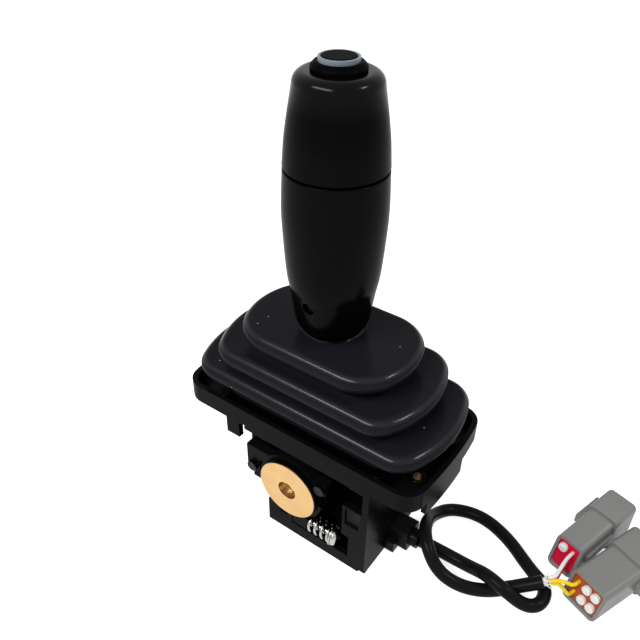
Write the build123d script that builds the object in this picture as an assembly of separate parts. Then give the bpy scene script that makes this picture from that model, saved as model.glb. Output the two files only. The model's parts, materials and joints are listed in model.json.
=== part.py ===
"""Single-axis electronic joystick controller: grip with push button, stepped gaiter, flange tray,
gimbal housing with brass pivot bushes and friction brake, and a cable with two connectors.

Frame: millimetres, +Z up the lever, +X towards the cable outlet, -Y the side with the friction brake.
The origin is the centre of the flange's underside, which rests on the panel.
"""
from build123d import *
import math
import os

# ---- flange tray -------------------------------------------------------------------------------
TRAY_HALF_LENGTH = 67.0
TRAY_HALF_WIDTH = 32.8
TRAY_CORNER = 10.0
TRAY_BOW = 2.5
TRAY_HEIGHT = 10.0
TRAY_FLOOR = 3.0
TRAY_WALL = 2.4
TRAY_OPENING_HALF_LENGTH = 38.0
TRAY_OPENING_HALF_WIDTH = 20.0
TRAY_OPENING_CORNER = 6.0
SEAT_RELIEF = 0.6
SEAT_CLEARANCE = 0.5
GUARD_DEPTH = 8.0
GUARD_LENGTH = 11.0
GUARD_START_Y = -21.0
GUARD_END_Y = 10.4
TAB_LENGTH = 8.0
TAB_DEPTH = 13.0
TAB_THICKNESS = 3.0
TAB_X = -37.0

# ---- panel fixing ------------------------------------------------------------------------------
FIXING_INSET = 10.0
FIXING_SPACING_Y = 28.0
INSERT_RADIUS = 3.6
INSERT_BORE_RADIUS = 2.1
INSERT_PROUD = 1.2

# ---- gaiter ------------------------------------------------------------------------------------
# each step: half length, half width, corner radius, end bow, height of its widest line
GAITER_STEPS = [
    (42.4, 27.2, 22.0, 12.0, 47.8),
    (54.2, 31.0, 15.0, 11.0, 34.0),
    (65.2, 31.8, 14.5, 9.0, 20.6),
]
GAITER_EDGE = 4.4
GAITER_WALL = 1.8
GAITER_NECK_INSET = 8.5
GAITER_NECK_CORNER = 9.0
GAITER_BASE_THICKNESS = 2.0
GAITER_BASE_CLEARANCE = 1.9
GAITER_BASE_HALF_WIDTH = 29.4
GAITER_BASE_STEP = 2.0
GAITER_BASE_CORNER = 6.0
GAITER_COLLAR_CLEARANCE = 0.4
CLAMP_THICKNESS = 1.6
CLAMP_SCREW_INSET = 7.5
CLAMP_SCREW_SPACING_Y = 52.4

# ---- housing -----------------------------------------------------------------------------------
HOUSING_FRONT_Y = -32.0
HOUSING_LEFT_X = -14.5
HOUSING_RIGHT_X = 43.6
HOUSING_SHOULDER_X = -28.0
HOUSING_SHOULDER_Z = -40.0
HOUSING_BOTTOM_Z = -59.1
HOUSING_WALL = 3.0
COVER_THICKNESS = 2.0
COVER_CLEARANCE = 0.15
WINDOW_LEFT_X = 20.0
WINDOW_RIGHT_X = 40.4
WINDOW_TOP_Z = -3.0
WINDOW_STEP_X = 30.0
WINDOW_STEP_Z = -17.0
POCKET_RIGHT_X = 34.0
POCKET_TOP_Z = -37.5
POCKET_BOTTOM_Z = -51.8
SMALL_SCREW_RADIUS = 1.5
SMALL_SCREW_HEAD_RADIUS = 2.9
SMALL_SCREW_HEAD = 1.9
SMALL_SCREW_LENGTH = 7.0
FLANGE_SCREW_X = (-21.0, 35.0)
FLANGE_SCREW_Y = 25.0
BOSS_HALF_WIDTH = 3.5
BOSS_DEPTH = 8.0
RECESS_LEFT_X = 31.5
RECESS_RIGHT_X = 39.0
RECESS_TOP_Z = -18.5
RECESS_BOTTOM_Z = -29.0
RECESS_DEPTH = 1.0
SLOT_LEFT_X = -6.6
SLOT_RIGHT_X = -2.0
SLOT_Z = -47.0
SLOT_HALF_HEIGHT = 1.0
NOTCH_WIDTH = 3.4
NOTCH_DEPTH = 1.0
NOTCH_HEIGHT = 2.6

# ---- pivot -------------------------------------------------------------------------------------
PIVOT_Z = -25.2
PIN_RADIUS = 4.95
PIN_CLEARANCE = 0.05
PIN_RECESS = 5.3
BUSH_FACE_Y = -35.2
BUSH_DISC_RADIUS = 16.4
BUSH_DISC_THICKNESS = 3.4
BUSH_SLEEVE_RADIUS = 8.5
BUSH_SLEEVE_PROUD = 3.0
BUSH_FIT = 0.1
PLATE_THICKNESS = 5.0
PLATE_RING_RADIUS = 18.4
PLATE_LEFT_X = -27.0
PLATE_RIGHT_X = 20.4
PLATE_TOP_Z = -12.0
PLATE_BAR_DEPTH = 7.0
PLATE_LUG_BOTTOM_Z = -29.0
PLATE_LUG_WIDTH = 8.0
PLATE_NOTCH_RADIUS = 5.0

# ---- friction brake ----------------------------------------------------------------------------
BRAKE_Y = -29.4
BRAKE_Z = -46.3
BRAKE_BLOCK_LEFT_X = 0.4
BRAKE_BLOCK_RIGHT_X = 10.2
BRAKE_HEAD_X = 24.6
BRAKE_HEAD_RADIUS = 4.8
BRAKE_HEAD_HEIGHT = 2.8
BRAKE_SCREW_RADIUS = 2.0
BRAKE_SOCKET_RADIUS = 1.7
BRAKE_SOCKET_DEPTH = 1.8
BRAKE_SPRING_WIRE_RADIUS = 0.75
BRAKE_SPRING_RADIUS = 4.5
BRAKE_SPRING_TURNS = 4.0
BRAKE_WASHER_THICKNESS = 0.8
BRAKE_WASHER_RADIUS = 5.2

# ---- lever -------------------------------------------------------------------------------------
ROD_RADIUS = 6.0
ROD_BOTTOM_Z = -15.0
ROD_TOP_Z = 120.0
FIT = 0.05
HUB_HALF_LENGTH = 9.0
HUB_HALF_WIDTH = 19.0
HUB_BELOW_PIVOT = 12.0
HUB_ABOVE_PIVOT = 11.0
HUB_COLLAR_RADIUS = 9.0
HUB_COLLAR_HEIGHT = 10.0
MAGNET_RADIUS = 3.0
MAGNET_HEIGHT = 2.5
MAGNET_CARRIER_RADIUS = 4.2
MAGNET_CARRIER_HEIGHT = 4.0
ROLL_PIN_RADIUS = 1.5
BOARD_GAP = 4.0
BOARD_THICKNESS = 1.6
BOARD_HALF_WIDTH = 20.0
BOARD_POST_INSET = 4.0
BOARD_POST_RADIUS = 2.6
BOARD_SCREW_RADIUS = 1.1
BOARD_SCREW_LENGTH = 6.0
HALL_HALF_SIDE = 3.0
HALL_HEIGHT = 1.6
SPACER_RADIUS = 8.2
SPACER_GAP = 0.3
LEAD_X = 2.75
LEAD_RADIUS = 1.0

# ---- grip --------------------------------------------------------------------------------------
GRIP_BOTTOM_Z = 53.8
GRIP_SEAM_HEIGHT = 75.4
GRIP_HEIGHT = 111.7
# outer radius at heights above the grip's bottom
GRIP_LOWER_PROFILE = [(14.6, 1.8), (16.3, 5.0), (17.6, 13.4), (18.5, 19.4), (20.0, 28.5), (21.2, 44.6), (21.7, 58.0)]
GRIP_SEAM_RADIUS = 21.1
GRIP_FOOT_LIP = 1.8
# outer radius at shares of the way from the seam to the shoulder
GRIP_UPPER_PROFILE = [(20.3, 10.6 / 31.9), (19.3, 18.1 / 31.9), (18.1, 25.6 / 31.9)]
GRIP_SHOULDER_RADIUS = 17.1
GRIP_SHOULDER_FILLET = 4.4
GRIP_WALL = 3.2
GRIP_SEAM_GROOVE = 0.6
GRIP_SPIGOT_HEIGHT = 4.0
GRIP_SPIGOT_CLEARANCE = 0.1
GRIP_CAVITY_FLOOR = 40.0
GRIP_SCREW_HEIGHT = 18.0
GRIP_SCREW_SEAT_DEPTH = 3.4
GRIP_SCREW_RECESS_RADIUS = 2.9
GRIP_SCREW_RADIUS = 1.5
GRIP_SCREW_HEAD_RADIUS = 2.6
GRIP_SCREW_HEAD_HEIGHT = 2.0

# ---- button ------------------------------------------------------------------------------------
BEZEL_RADIUS = 10.5
BEZEL_HEIGHT = 3.2
BEZEL_CHAMFER = 1.6
RING_RADIUS = 7.7
RING_PROUD = 1.6
CAP_RADIUS = 6.6
CAP_CLEARANCE = 0.08
CAP_PROUD = 0.2
CAP_THICKNESS = 4.6
STEM_RADIUS = 2.2
STEM_LENGTH = 5.0
SWITCH_RADIUS = 8.0
SWITCH_HEIGHT = 18.0
SWITCH_TOP_GAP = 8.0
BUTTON_SPRING_RADIUS = 3.6
BUTTON_SPRING_WIRE_RADIUS = 0.35
BUTTON_SPRING_TURNS = 4.0

# ---- cable -------------------------------------------------------------------------------------
CABLE_DIAMETER = 6.4
GLAND_Y = -3.0
GLAND_Z = -52.0
GLAND_LENGTH = 10.0
GLAND_HALF_WIDTH = 6.0
GLAND_CORNER = 1.5
GLAND_COLLAR_RADIUS = 4.6
GLAND_FOOT_LENGTH = 5.0
GLAND_FOOT_WIDTH = 4.0
GLAND_FOOT_RISE = 0.6
FLOOR = HOUSING_BOTTOM_Z + CABLE_DIAMETER / 2
HUMP = FLOOR + 7.6
ARCH = FLOOR + 13.9
CABLE_ROUTE = [
    (57.6, -3.0, GLAND_Z), (70.3, 0.4, FLOOR), (83.1, 0.7, FLOOR), (93.1, -3.8, HUMP),
    (103.4, -6.4, HUMP), (113.5, -3.3, FLOOR), (119.3, 2.1, FLOOR), (117.8, 11.9, FLOOR),
    (106.8, 17.1, FLOOR), (92.1, 27.0, FLOOR), (75.5, 32.0, FLOOR), (60.4, 27.4, FLOOR),
    (54.7, 15.0, FLOOR + 3.0), (58.2, -1.0, ARCH), (64.2, -10.3, ARCH), (72.9, -14.4, FLOOR + 5.9),
    (84.0, -12.6, FLOOR + 1.0), (95.7, -6.7, FLOOR), (105.2, 1.5, FLOOR + 2.0), (116.1, 8.2, HUMP),
]
SLEEVE_LENGTH = 3.0
SLEEVE_RADIUS = 2.5

# ---- connectors --------------------------------------------------------------------------------
WIRE_RADIUS = 0.9
WIRE_SPACING = 1.0
SMALL_CONNECTOR = dict(x=119.7, y=30.0, heading=74.0, width=14.0, height=19.0, columns=2, latch_side=1)
LARGE_CONNECTOR = dict(x=134.4, y=15.4, heading=68.0, width=19.0, height=17.4, columns=3, latch_side=-1)
CONNECTOR_BODY_LENGTH = 25.0
CONNECTOR_SHROUD_LENGTH = 18.0
CONNECTOR_SHROUD_STEP = 1.0
CONNECTOR_SHROUD_FILLET = 1.6
CONNECTOR_CORNER = 3.0
CONNECTOR_WALL = 1.6
CONNECTOR_RAKE = 5.0
CONNECTOR_SEAL_DEPTH = 7.0
CONNECTOR_SEAL_INSET = 1.0
CONNECTOR_SEAL_CORNER = 1.4
CONNECTOR_FACE_RECESS = 3.0
CONNECTOR_HOLE_MARGIN = 1.0
CONNECTOR_PLUG_RADIUS = 2.3
CONNECTOR_PLUG_PROUD = 2.0
CONNECTOR_PLUG_ROUND = 0.8
CONNECTOR_PLUG_ROOT = 1.5
CONNECTOR_LATCH_WIDTH = 5.0
CONNECTOR_LATCH_HEIGHT = 3.0
CONNECTOR_LATCH_BEHIND = 4.0
CONNECTOR_LATCH_AHEAD = 14.0
CONNECTOR_RAIL_START = 4.0
CONNECTOR_RAIL_PROUD = 1.2
CONNECTOR_RAIL_HEIGHT = 5.0
CONNECTOR_WEDGE_MARGIN = 2.5
CONNECTOR_WEDGE_LENGTH = 2.0
WIRE_LEAD = 3.0
WIRE_APPROACH = 4.0
WIRE_RISE = 0.8


def block(x0, x1, y0, y1, z0, z1):
    """A box between two corners."""
    centre = Vector((x0 + x1) / 2, (y0 + y1) / 2, (z0 + z1) / 2)
    return Pos(centre) * Box(x1 - x0, y1 - y0, z1 - z0)


def rod_z(radius, z0, z1, x=0, y=0):
    """A round bar along Z."""
    return Pos(x, y, (z0 + z1) / 2) * Cylinder(radius, z1 - z0)


def rod_y(radius, y0, y1, x=0, z=0):
    """A round bar along Y."""
    return Pos(x, (y0 + y1) / 2, z) * Rot(90, 0, 0) * Cylinder(radius, y1 - y0)


def rod_x(radius, x0, x1, y=0, z=0):
    """A round bar along X."""
    return Pos((x0 + x1) / 2, y, z) * Rot(0, 90, 0) * Cylinder(radius, x1 - x0)


def bowed_outline(half_length, half_width, corner, bow):
    """An oblong with straight long sides, bowed ends and rounded corners."""
    end_x = half_length - bow
    right = ThreePointArc((end_x, -half_width), (half_length, 0), (end_x, half_width))
    back = Line((end_x, half_width), (-end_x, half_width))
    left = ThreePointArc((-end_x, half_width), (-half_length, 0), (-end_x, -half_width))
    front = Line((-end_x, -half_width), (end_x, -half_width))
    face = make_face([right, back, left, front])
    return fillet(face.vertices(), corner)


def slab(outline, z0, z1):
    """An outline extruded between two heights."""
    return Pos(0, 0, z0) * extrude(outline, z1 - z0)


def rounded_slab(half_length, half_width, corner, z0, z1):
    """A plain rectangle with rounded corners between two heights."""
    return slab(RectangleRounded(2 * half_length, 2 * half_width, corner), z0, z1)


def rectangle_points(spacing_x, spacing_y):
    """The four corners of a hole pattern."""
    return [(sx * spacing_x / 2, sy * spacing_y / 2) for sx in (-1, 1) for sy in (-1, 1)]


def fixing_points():
    return rectangle_points(2 * (TRAY_HALF_LENGTH - FIXING_INSET), FIXING_SPACING_Y)


def clamp_points():
    return rectangle_points(2 * (gaiter_base_half_length() - CLAMP_SCREW_INSET), CLAMP_SCREW_SPACING_Y)


def gaiter_base_half_length():
    """The gaiter's foot ends clear of the panel fixings."""
    return TRAY_HALF_LENGTH - FIXING_INSET - INSERT_RADIUS - GAITER_BASE_CLEARANCE


def helix_spring(radius, wire_radius, length, turns):
    """A coil spring along Z from z = 0 to z = length, swept along a helix."""
    pitch = (length - 2 * wire_radius) / turns
    path = Pos(0, 0, wire_radius) * Helix(pitch, pitch * turns, radius)
    start = path.position_at(0)
    section = Plane(origin=start, z_dir=path.tangent_at(0)) * Circle(wire_radius)
    return sweep(section, path=path, is_frenet=True)


# ---- flange and gaiter -------------------------------------------------------------------------
def flange_tray():
    outer = bowed_outline(TRAY_HALF_LENGTH, TRAY_HALF_WIDTH, TRAY_CORNER, TRAY_BOW)
    inner = bowed_outline(TRAY_HALF_LENGTH - TRAY_WALL, TRAY_HALF_WIDTH - TRAY_WALL,
                          TRAY_CORNER - TRAY_WALL, TRAY_BOW)
    body = slab(outer, 0, TRAY_HEIGHT) - slab(inner, TRAY_FLOOR, TRAY_HEIGHT)
    body -= rounded_slab(TRAY_OPENING_HALF_LENGTH, TRAY_OPENING_HALF_WIDTH, TRAY_OPENING_CORNER, 0, TRAY_FLOOR)
    guard = slab(outer, -GUARD_DEPTH, 0) - slab(inner, -GUARD_DEPTH, 0)
    guard &= block(TRAY_HALF_LENGTH - GUARD_LENGTH, TRAY_HALF_LENGTH + 1, GUARD_START_Y, GUARD_END_Y, -GUARD_DEPTH, 0)
    body -= block(HOUSING_SHOULDER_X - SEAT_CLEARANCE, HOUSING_RIGHT_X + SEAT_CLEARANCE,
                  -TRAY_HALF_WIDTH - 1, TRAY_HALF_WIDTH + 1, 0, SEAT_RELIEF)
    tab_y = -TRAY_HALF_WIDTH + TRAY_WALL
    tab = block(TAB_X - TAB_LENGTH / 2, TAB_X + TAB_LENGTH / 2, tab_y, tab_y + TAB_THICKNESS, -TAB_DEPTH, 0)
    body += guard + tab
    for x, y in fixing_points():
        body -= rod_z(INSERT_RADIUS, 0, TRAY_FLOOR, x, y)
    for x, y in clamp_points():
        body -= rod_z(SMALL_SCREW_RADIUS, 0, TRAY_FLOOR, x, y)
    for x, y in flange_screw_points():
        body -= rod_z(SMALL_SCREW_RADIUS, 0, TRAY_FLOOR, x, y)
        body -= rod_z(SMALL_SCREW_HEAD_RADIUS, TRAY_FLOOR - SMALL_SCREW_HEAD, TRAY_FLOOR, x, y)
    return body


def threaded_inserts():
    inserts = []
    for x, y in fixing_points():
        ring = rod_z(INSERT_RADIUS, 0, TRAY_FLOOR + INSERT_PROUD, x, y)
        inserts.append(ring - rod_z(INSERT_BORE_RADIUS, 0, TRAY_FLOOR + INSERT_PROUD, x, y))
    return Compound(inserts)


def gaiter_pillow(step, shrink):
    """One step of the gaiter: a flat oblong with fully rounded edges, shrunk all round for the inside."""
    half_length, half_width, corner, bow, height = step
    edge = GAITER_EDGE - shrink
    outline = bowed_outline(half_length - shrink, half_width - shrink, corner - shrink, bow)
    pillow = slab(outline, height - edge, height + edge)
    rims = pillow.edges().group_by(Axis.Z)[0] + pillow.edges().group_by(Axis.Z)[-1]
    return fillet(rims, edge * 0.85)


def gaiter_neck(half_length, half_width, z0, z1, shrink):
    return rounded_slab(half_length - shrink, half_width - shrink, GAITER_NECK_CORNER, z0, z1)


def gaiter_stack(shrink):
    """The steps, the necks between them and the neck down to the base."""
    stack = gaiter_pillow(GAITER_STEPS[0], shrink)
    for upper, lower in zip(GAITER_STEPS, GAITER_STEPS[1:]):
        stack += gaiter_pillow(lower, shrink)
        stack += gaiter_neck(upper[0] - GAITER_NECK_INSET, upper[1] - GAITER_NECK_INSET, lower[4], upper[4], shrink)
    return stack


def gaiter():
    base_z = TRAY_FLOOR
    lowest = GAITER_STEPS[-1]
    base_neck_length = gaiter_base_half_length() - GAITER_BASE_STEP
    base_neck_width = lowest[1] - GAITER_NECK_INSET
    outer = gaiter_stack(0) + gaiter_neck(base_neck_length, base_neck_width, base_z, lowest[4], 0)
    outer += rounded_slab(gaiter_base_half_length(), GAITER_BASE_HALF_WIDTH, GAITER_BASE_CORNER,
                          base_z, base_z + GAITER_BASE_THICKNESS)
    inner = gaiter_stack(GAITER_WALL)
    inner += gaiter_neck(base_neck_length, base_neck_width, base_z, lowest[4], GAITER_WALL)
    top = GAITER_STEPS[0][4] + GAITER_EDGE
    body = outer - inner - rod_z(ROD_RADIUS + GAITER_COLLAR_CLEARANCE, 0, top)
    for x, y in clamp_points():
        body -= rod_z(SMALL_SCREW_RADIUS, base_z, base_z + GAITER_BASE_THICKNESS, x, y)
    return body


def gaiter_clamp_frame():
    z0 = TRAY_FLOOR + GAITER_BASE_THICKNESS
    z1 = z0 + CLAMP_THICKNESS
    lowest = GAITER_STEPS[-1]
    frame = rounded_slab(gaiter_base_half_length(), GAITER_BASE_HALF_WIDTH, GAITER_BASE_CORNER, z0, z1)
    frame -= gaiter_neck(gaiter_base_half_length() - GAITER_BASE_STEP, lowest[1] - GAITER_NECK_INSET, z0, z1, 0)
    for x, y in clamp_points():
        frame -= rod_z(SMALL_SCREW_RADIUS, z0, z1, x, y)
    return frame


def clamp_screws():
    z1 = TRAY_FLOOR + GAITER_BASE_THICKNESS + CLAMP_THICKNESS
    screws = []
    for x, y in clamp_points():
        shank = rod_z(SMALL_SCREW_RADIUS, SEAT_RELIEF + 0.2, z1, x, y)
        screws.append(shank + rod_z(SMALL_SCREW_HEAD_RADIUS, z1, z1 + SMALL_SCREW_HEAD, x, y))
    return Compound(screws)


# ---- housing -----------------------------------------------------------------------------------
def housing_profile():
    """The housing's outline seen from the front: a box with a shoulder at its left."""
    points = [
        (HOUSING_LEFT_X, HOUSING_BOTTOM_Z), (HOUSING_RIGHT_X, HOUSING_BOTTOM_Z), (HOUSING_RIGHT_X, SEAT_RELIEF),
        (HOUSING_SHOULDER_X, SEAT_RELIEF), (HOUSING_SHOULDER_X, HOUSING_SHOULDER_Z), (HOUSING_LEFT_X, HOUSING_SHOULDER_Z),
    ]
    return make_face(Polyline(points, close=True))


def front_cutouts():
    """Openings of the front wall: the bearing plate's seat, the stepped window and the brake's pocket."""
    y0 = HOUSING_FRONT_Y - 1
    y1 = HOUSING_FRONT_Y + HOUSING_WALL + 0.5
    y2 = HOUSING_FRONT_Y + PLATE_THICKNESS
    seat = block(HOUSING_SHOULDER_X, PLATE_RIGHT_X, y0, y2, PIVOT_Z - PLATE_RING_RADIUS, -HOUSING_WALL)
    seat += block(WINDOW_LEFT_X, WINDOW_RIGHT_X, y0, y1, WINDOW_STEP_Z, WINDOW_TOP_Z)
    seat += block(WINDOW_LEFT_X, WINDOW_STEP_X, y0, y1, POCKET_TOP_Z, WINDOW_STEP_Z)
    seat += block(BRAKE_BLOCK_LEFT_X, POCKET_RIGHT_X, y0, y1, POCKET_BOTTOM_Z, POCKET_TOP_Z)
    return seat


def front_marks():
    """Shallow moulded recesses of the front wall."""
    y0 = HOUSING_FRONT_Y - 1
    marks = block(RECESS_LEFT_X, RECESS_RIGHT_X, y0, HOUSING_FRONT_Y + RECESS_DEPTH, RECESS_BOTTOM_Z, RECESS_TOP_Z)
    slot_y = HOUSING_FRONT_Y + 2 * RECESS_DEPTH
    marks += block(SLOT_LEFT_X, SLOT_RIGHT_X, y0, slot_y, SLOT_Z - SLOT_HALF_HEIGHT, SLOT_Z + SLOT_HALF_HEIGHT)
    notch_x = HOUSING_RIGHT_X - NOTCH_WIDTH
    marks += block(notch_x, HOUSING_RIGHT_X + 1, y0, HOUSING_FRONT_Y + NOTCH_DEPTH,
                   HOUSING_BOTTOM_Z - 1, HOUSING_BOTTOM_Z + NOTCH_HEIGHT)
    return marks


def flange_screw_points():
    """The screws that join the housing's top bosses to the tray's floor."""
    return [(x, side * FLANGE_SCREW_Y) for x in FLANGE_SCREW_X for side in (-1, 1)]


def cover_screw_points():
    """The screws that hold the base cover in the housing's lower corners."""
    inset = HOUSING_WALL + BOSS_HALF_WIDTH
    xs = (HOUSING_LEFT_X + inset, HOUSING_RIGHT_X - inset)
    return [(x, side * (-HOUSING_FRONT_Y - inset)) for x in xs for side in (-1, 1)]


def housing_bosses():
    """Square bosses that take the flange screws at the top and the cover screws at the bottom."""
    half = BOSS_HALF_WIDTH
    wall_y = -HOUSING_FRONT_Y - HOUSING_WALL
    bosses = []
    for x, y in flange_screw_points():
        outer = wall_y if y > 0 else -wall_y
        inner = y - half if y > 0 else y + half
        post = block(x - half, x + half, min(inner, outer), max(inner, outer),
                     -BOSS_DEPTH, SEAT_RELIEF)
        bosses.append(post - rod_z(SMALL_SCREW_RADIUS, -BOSS_DEPTH, SEAT_RELIEF, x, y))
    bottom = HOUSING_BOTTOM_Z + COVER_THICKNESS
    for x, y in cover_screw_points():
        post = block(x - half, x + half, y - half, y + half, bottom, bottom + BOSS_DEPTH)
        bosses.append(post - rod_z(SMALL_SCREW_RADIUS, bottom, bottom + BOSS_DEPTH, x, y))
    return bosses


def body_housing():
    depth = -2 * HOUSING_FRONT_Y
    outer = Pos(0, -HOUSING_FRONT_Y, 0) * extrude(Plane.XZ * housing_profile(), depth)
    wall = HOUSING_WALL
    low = block(HOUSING_LEFT_X + wall, HOUSING_RIGHT_X - wall, HOUSING_FRONT_Y + wall, -HOUSING_FRONT_Y - wall,
                HOUSING_BOTTOM_Z, SEAT_RELIEF)
    high = block(HOUSING_SHOULDER_X + wall, HOUSING_RIGHT_X - wall, HOUSING_FRONT_Y + wall,
                 -HOUSING_FRONT_Y - wall, HOUSING_SHOULDER_Z + wall, SEAT_RELIEF)
    shell = outer - low - high - front_cutouts() - front_marks()
    rear_y = -HOUSING_FRONT_Y
    ring_bottom = PIVOT_Z - PLATE_RING_RADIUS
    ring_top = PIVOT_Z + PLATE_RING_RADIUS
    shell -= block(PLATE_LEFT_X, PLATE_RIGHT_X, rear_y - PLATE_THICKNESS, rear_y + 1, ring_bottom, ring_top)
    for boss in housing_bosses():
        shell += boss
    shell -= rod_x(GLAND_COLLAR_RADIUS - 1, HOUSING_RIGHT_X - wall - 1, HOUSING_RIGHT_X + 1, GLAND_Y, GLAND_Z)
    return shell


def base_cover():
    """The plate that closes the housing's underside."""
    gap = HOUSING_WALL + COVER_CLEARANCE
    top = HOUSING_BOTTOM_Z + COVER_THICKNESS
    plate = block(HOUSING_LEFT_X + gap, HOUSING_RIGHT_X - gap, HOUSING_FRONT_Y + gap, -HOUSING_FRONT_Y - gap,
                  HOUSING_BOTTOM_Z, top)
    for x, y in cover_screw_points():
        plate -= rod_z(SMALL_SCREW_HEAD_RADIUS, HOUSING_BOTTOM_Z, top, x, y)
    for x, y in board_screw_points():
        plate += rod_z(BOARD_POST_RADIUS, top, board_bottom(), x, y)
        plate -= rod_z(BOARD_SCREW_RADIUS, top, board_bottom(), x, y)
    return plate


def cover_screws():
    """Flush screws under the base cover."""
    top = HOUSING_BOTTOM_Z + COVER_THICKNESS
    screws = []
    for x, y in cover_screw_points():
        head = rod_z(SMALL_SCREW_HEAD_RADIUS, HOUSING_BOTTOM_Z, top, x, y)
        screws.append(head + rod_z(SMALL_SCREW_RADIUS, top, top + BOSS_DEPTH - 1, x, y))
    return Compound(screws)


def flange_screws():
    """Flush screws in the tray's floor."""
    screws = []
    for x, y in flange_screw_points():
        head = rod_z(SMALL_SCREW_HEAD_RADIUS, TRAY_FLOOR - SMALL_SCREW_HEAD, TRAY_FLOOR, x, y)
        screws.append(head + rod_z(SMALL_SCREW_RADIUS, 1 - BOSS_DEPTH, TRAY_FLOOR - SMALL_SCREW_HEAD, x, y))
    return Compound(screws)


def bearing_plate(side):
    """The plate that holds a pivot bush: a ring with a top bar, a left lug and a notched right ear."""
    face = HOUSING_FRONT_Y
    back = face + PLATE_THICKNESS
    plate = rod_y(PLATE_RING_RADIUS, face, back, 0, PIVOT_Z)
    plate += block(PLATE_LEFT_X, PLATE_RIGHT_X, face, back, PLATE_TOP_Z - PLATE_BAR_DEPTH, PLATE_TOP_Z)
    plate += block(PLATE_LEFT_X, PLATE_LEFT_X + PLATE_LUG_WIDTH, face, back, PLATE_LUG_BOTTOM_Z, PLATE_TOP_Z)
    plate += block(0, PLATE_RIGHT_X - 1, face, back, PLATE_TOP_Z - 2 * PLATE_BAR_DEPTH, PLATE_TOP_Z)
    notch_z = PLATE_TOP_Z - PLATE_BAR_DEPTH - PLATE_NOTCH_RADIUS
    plate -= rod_y(PLATE_NOTCH_RADIUS, face, back, PLATE_RIGHT_X, notch_z)
    plate -= rod_y(BUSH_DISC_RADIUS + BUSH_FIT, face, face + BUSH_DISC_THICKNESS + BUSH_FACE_Y - face, 0, PIVOT_Z)
    plate -= rod_y(BUSH_SLEEVE_RADIUS + BUSH_FIT, face, back, 0, PIVOT_Z)
    for x, z in plate_screw_points():
        plate -= rod_y(SMALL_SCREW_RADIUS, face, back, x, z)
    return plate if side < 0 else plate.mirror(Plane.XZ)


def plate_screw_points():
    lug_x = PLATE_LEFT_X + PLATE_LUG_WIDTH / 2
    inset = SMALL_SCREW_HEAD_RADIUS
    return [(lug_x, PLATE_LUG_BOTTOM_Z + 4.5), (PLATE_RIGHT_X - inset, PLATE_TOP_Z - inset)]


def plate_screws():
    screws = []
    for x, z in plate_screw_points():
        face = HOUSING_FRONT_Y
        shank = rod_y(SMALL_SCREW_RADIUS, face, face + SMALL_SCREW_LENGTH, x, z)
        screw = shank + rod_y(SMALL_SCREW_HEAD_RADIUS, face - SMALL_SCREW_HEAD, face, x, z)
        screws += [screw, screw.mirror(Plane.XZ)]
    return Compound(screws)


def pivot_bush(side):
    """Brass bush: a broad disc that shows in the plate's ring, with a sleeve round the pivot pin."""
    back = -bush_inner_y()
    bush = rod_y(BUSH_DISC_RADIUS, BUSH_FACE_Y, BUSH_FACE_Y + BUSH_DISC_THICKNESS, 0, PIVOT_Z)
    bush = chamfer(bush.edges().group_by(Axis.Y)[0], 0.4)
    bush += rod_y(BUSH_SLEEVE_RADIUS, BUSH_FACE_Y + BUSH_DISC_THICKNESS, back, 0, PIVOT_Z)
    bush -= rod_y(PIN_RADIUS + PIN_CLEARANCE, BUSH_FACE_Y, back, 0, PIVOT_Z)
    return bush if side < 0 else bush.mirror(Plane.XZ)


# ---- friction brake ----------------------------------------------------------------------------
def brake_block():
    """The clamp block that the brake screw threads into, hung below the ring."""
    y0 = HOUSING_FRONT_Y + 0.4
    body = block(BRAKE_BLOCK_LEFT_X, BRAKE_BLOCK_RIGHT_X, y0, BRAKE_Y + 5.0, POCKET_BOTTOM_Z, BRAKE_Z + 3.2)
    body -= rod_y(PLATE_RING_RADIUS + 0.1, y0 - 1, BRAKE_Y + 6.0, 0, PIVOT_Z)
    return body - rod_x(BRAKE_SCREW_RADIUS, BRAKE_BLOCK_LEFT_X, BRAKE_BLOCK_RIGHT_X, BRAKE_Y, BRAKE_Z)


def brake_screw():
    """Button-head screw with a hexagon socket."""
    head = rod_x(BRAKE_HEAD_RADIUS, BRAKE_HEAD_X, BRAKE_HEAD_X + BRAKE_HEAD_HEIGHT, BRAKE_Y, BRAKE_Z)
    head = fillet(head.edges().group_by(Axis.X)[-1], BRAKE_HEAD_HEIGHT * 0.7)
    socket_plane = Plane(origin=(BRAKE_HEAD_X + BRAKE_HEAD_HEIGHT, BRAKE_Y, BRAKE_Z), z_dir=(-1, 0, 0))
    head -= extrude(socket_plane * RegularPolygon(BRAKE_SOCKET_RADIUS, 6), BRAKE_SOCKET_DEPTH)
    return head + rod_x(BRAKE_SCREW_RADIUS, BRAKE_BLOCK_LEFT_X, BRAKE_HEAD_X, BRAKE_Y, BRAKE_Z)


def brake_washer():
    x0 = BRAKE_HEAD_X - BRAKE_WASHER_THICKNESS
    ring = rod_x(BRAKE_WASHER_RADIUS, x0, BRAKE_HEAD_X, BRAKE_Y, BRAKE_Z)
    return ring - rod_x(BRAKE_SCREW_RADIUS, x0, BRAKE_HEAD_X, BRAKE_Y, BRAKE_Z)


def brake_spring():
    length = BRAKE_HEAD_X - BRAKE_WASHER_THICKNESS - BRAKE_BLOCK_RIGHT_X
    spring = helix_spring(BRAKE_SPRING_RADIUS, BRAKE_SPRING_WIRE_RADIUS, length, BRAKE_SPRING_TURNS)
    return Pos(BRAKE_BLOCK_RIGHT_X, BRAKE_Y, BRAKE_Z) * Rot(0, 90, 0) * spring


# ---- sensing -----------------------------------------------------------------------------------
def board_bottom():
    return PIVOT_Z - HUB_BELOW_PIVOT - MAGNET_CARRIER_HEIGHT - BOARD_GAP - BOARD_THICKNESS


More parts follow.
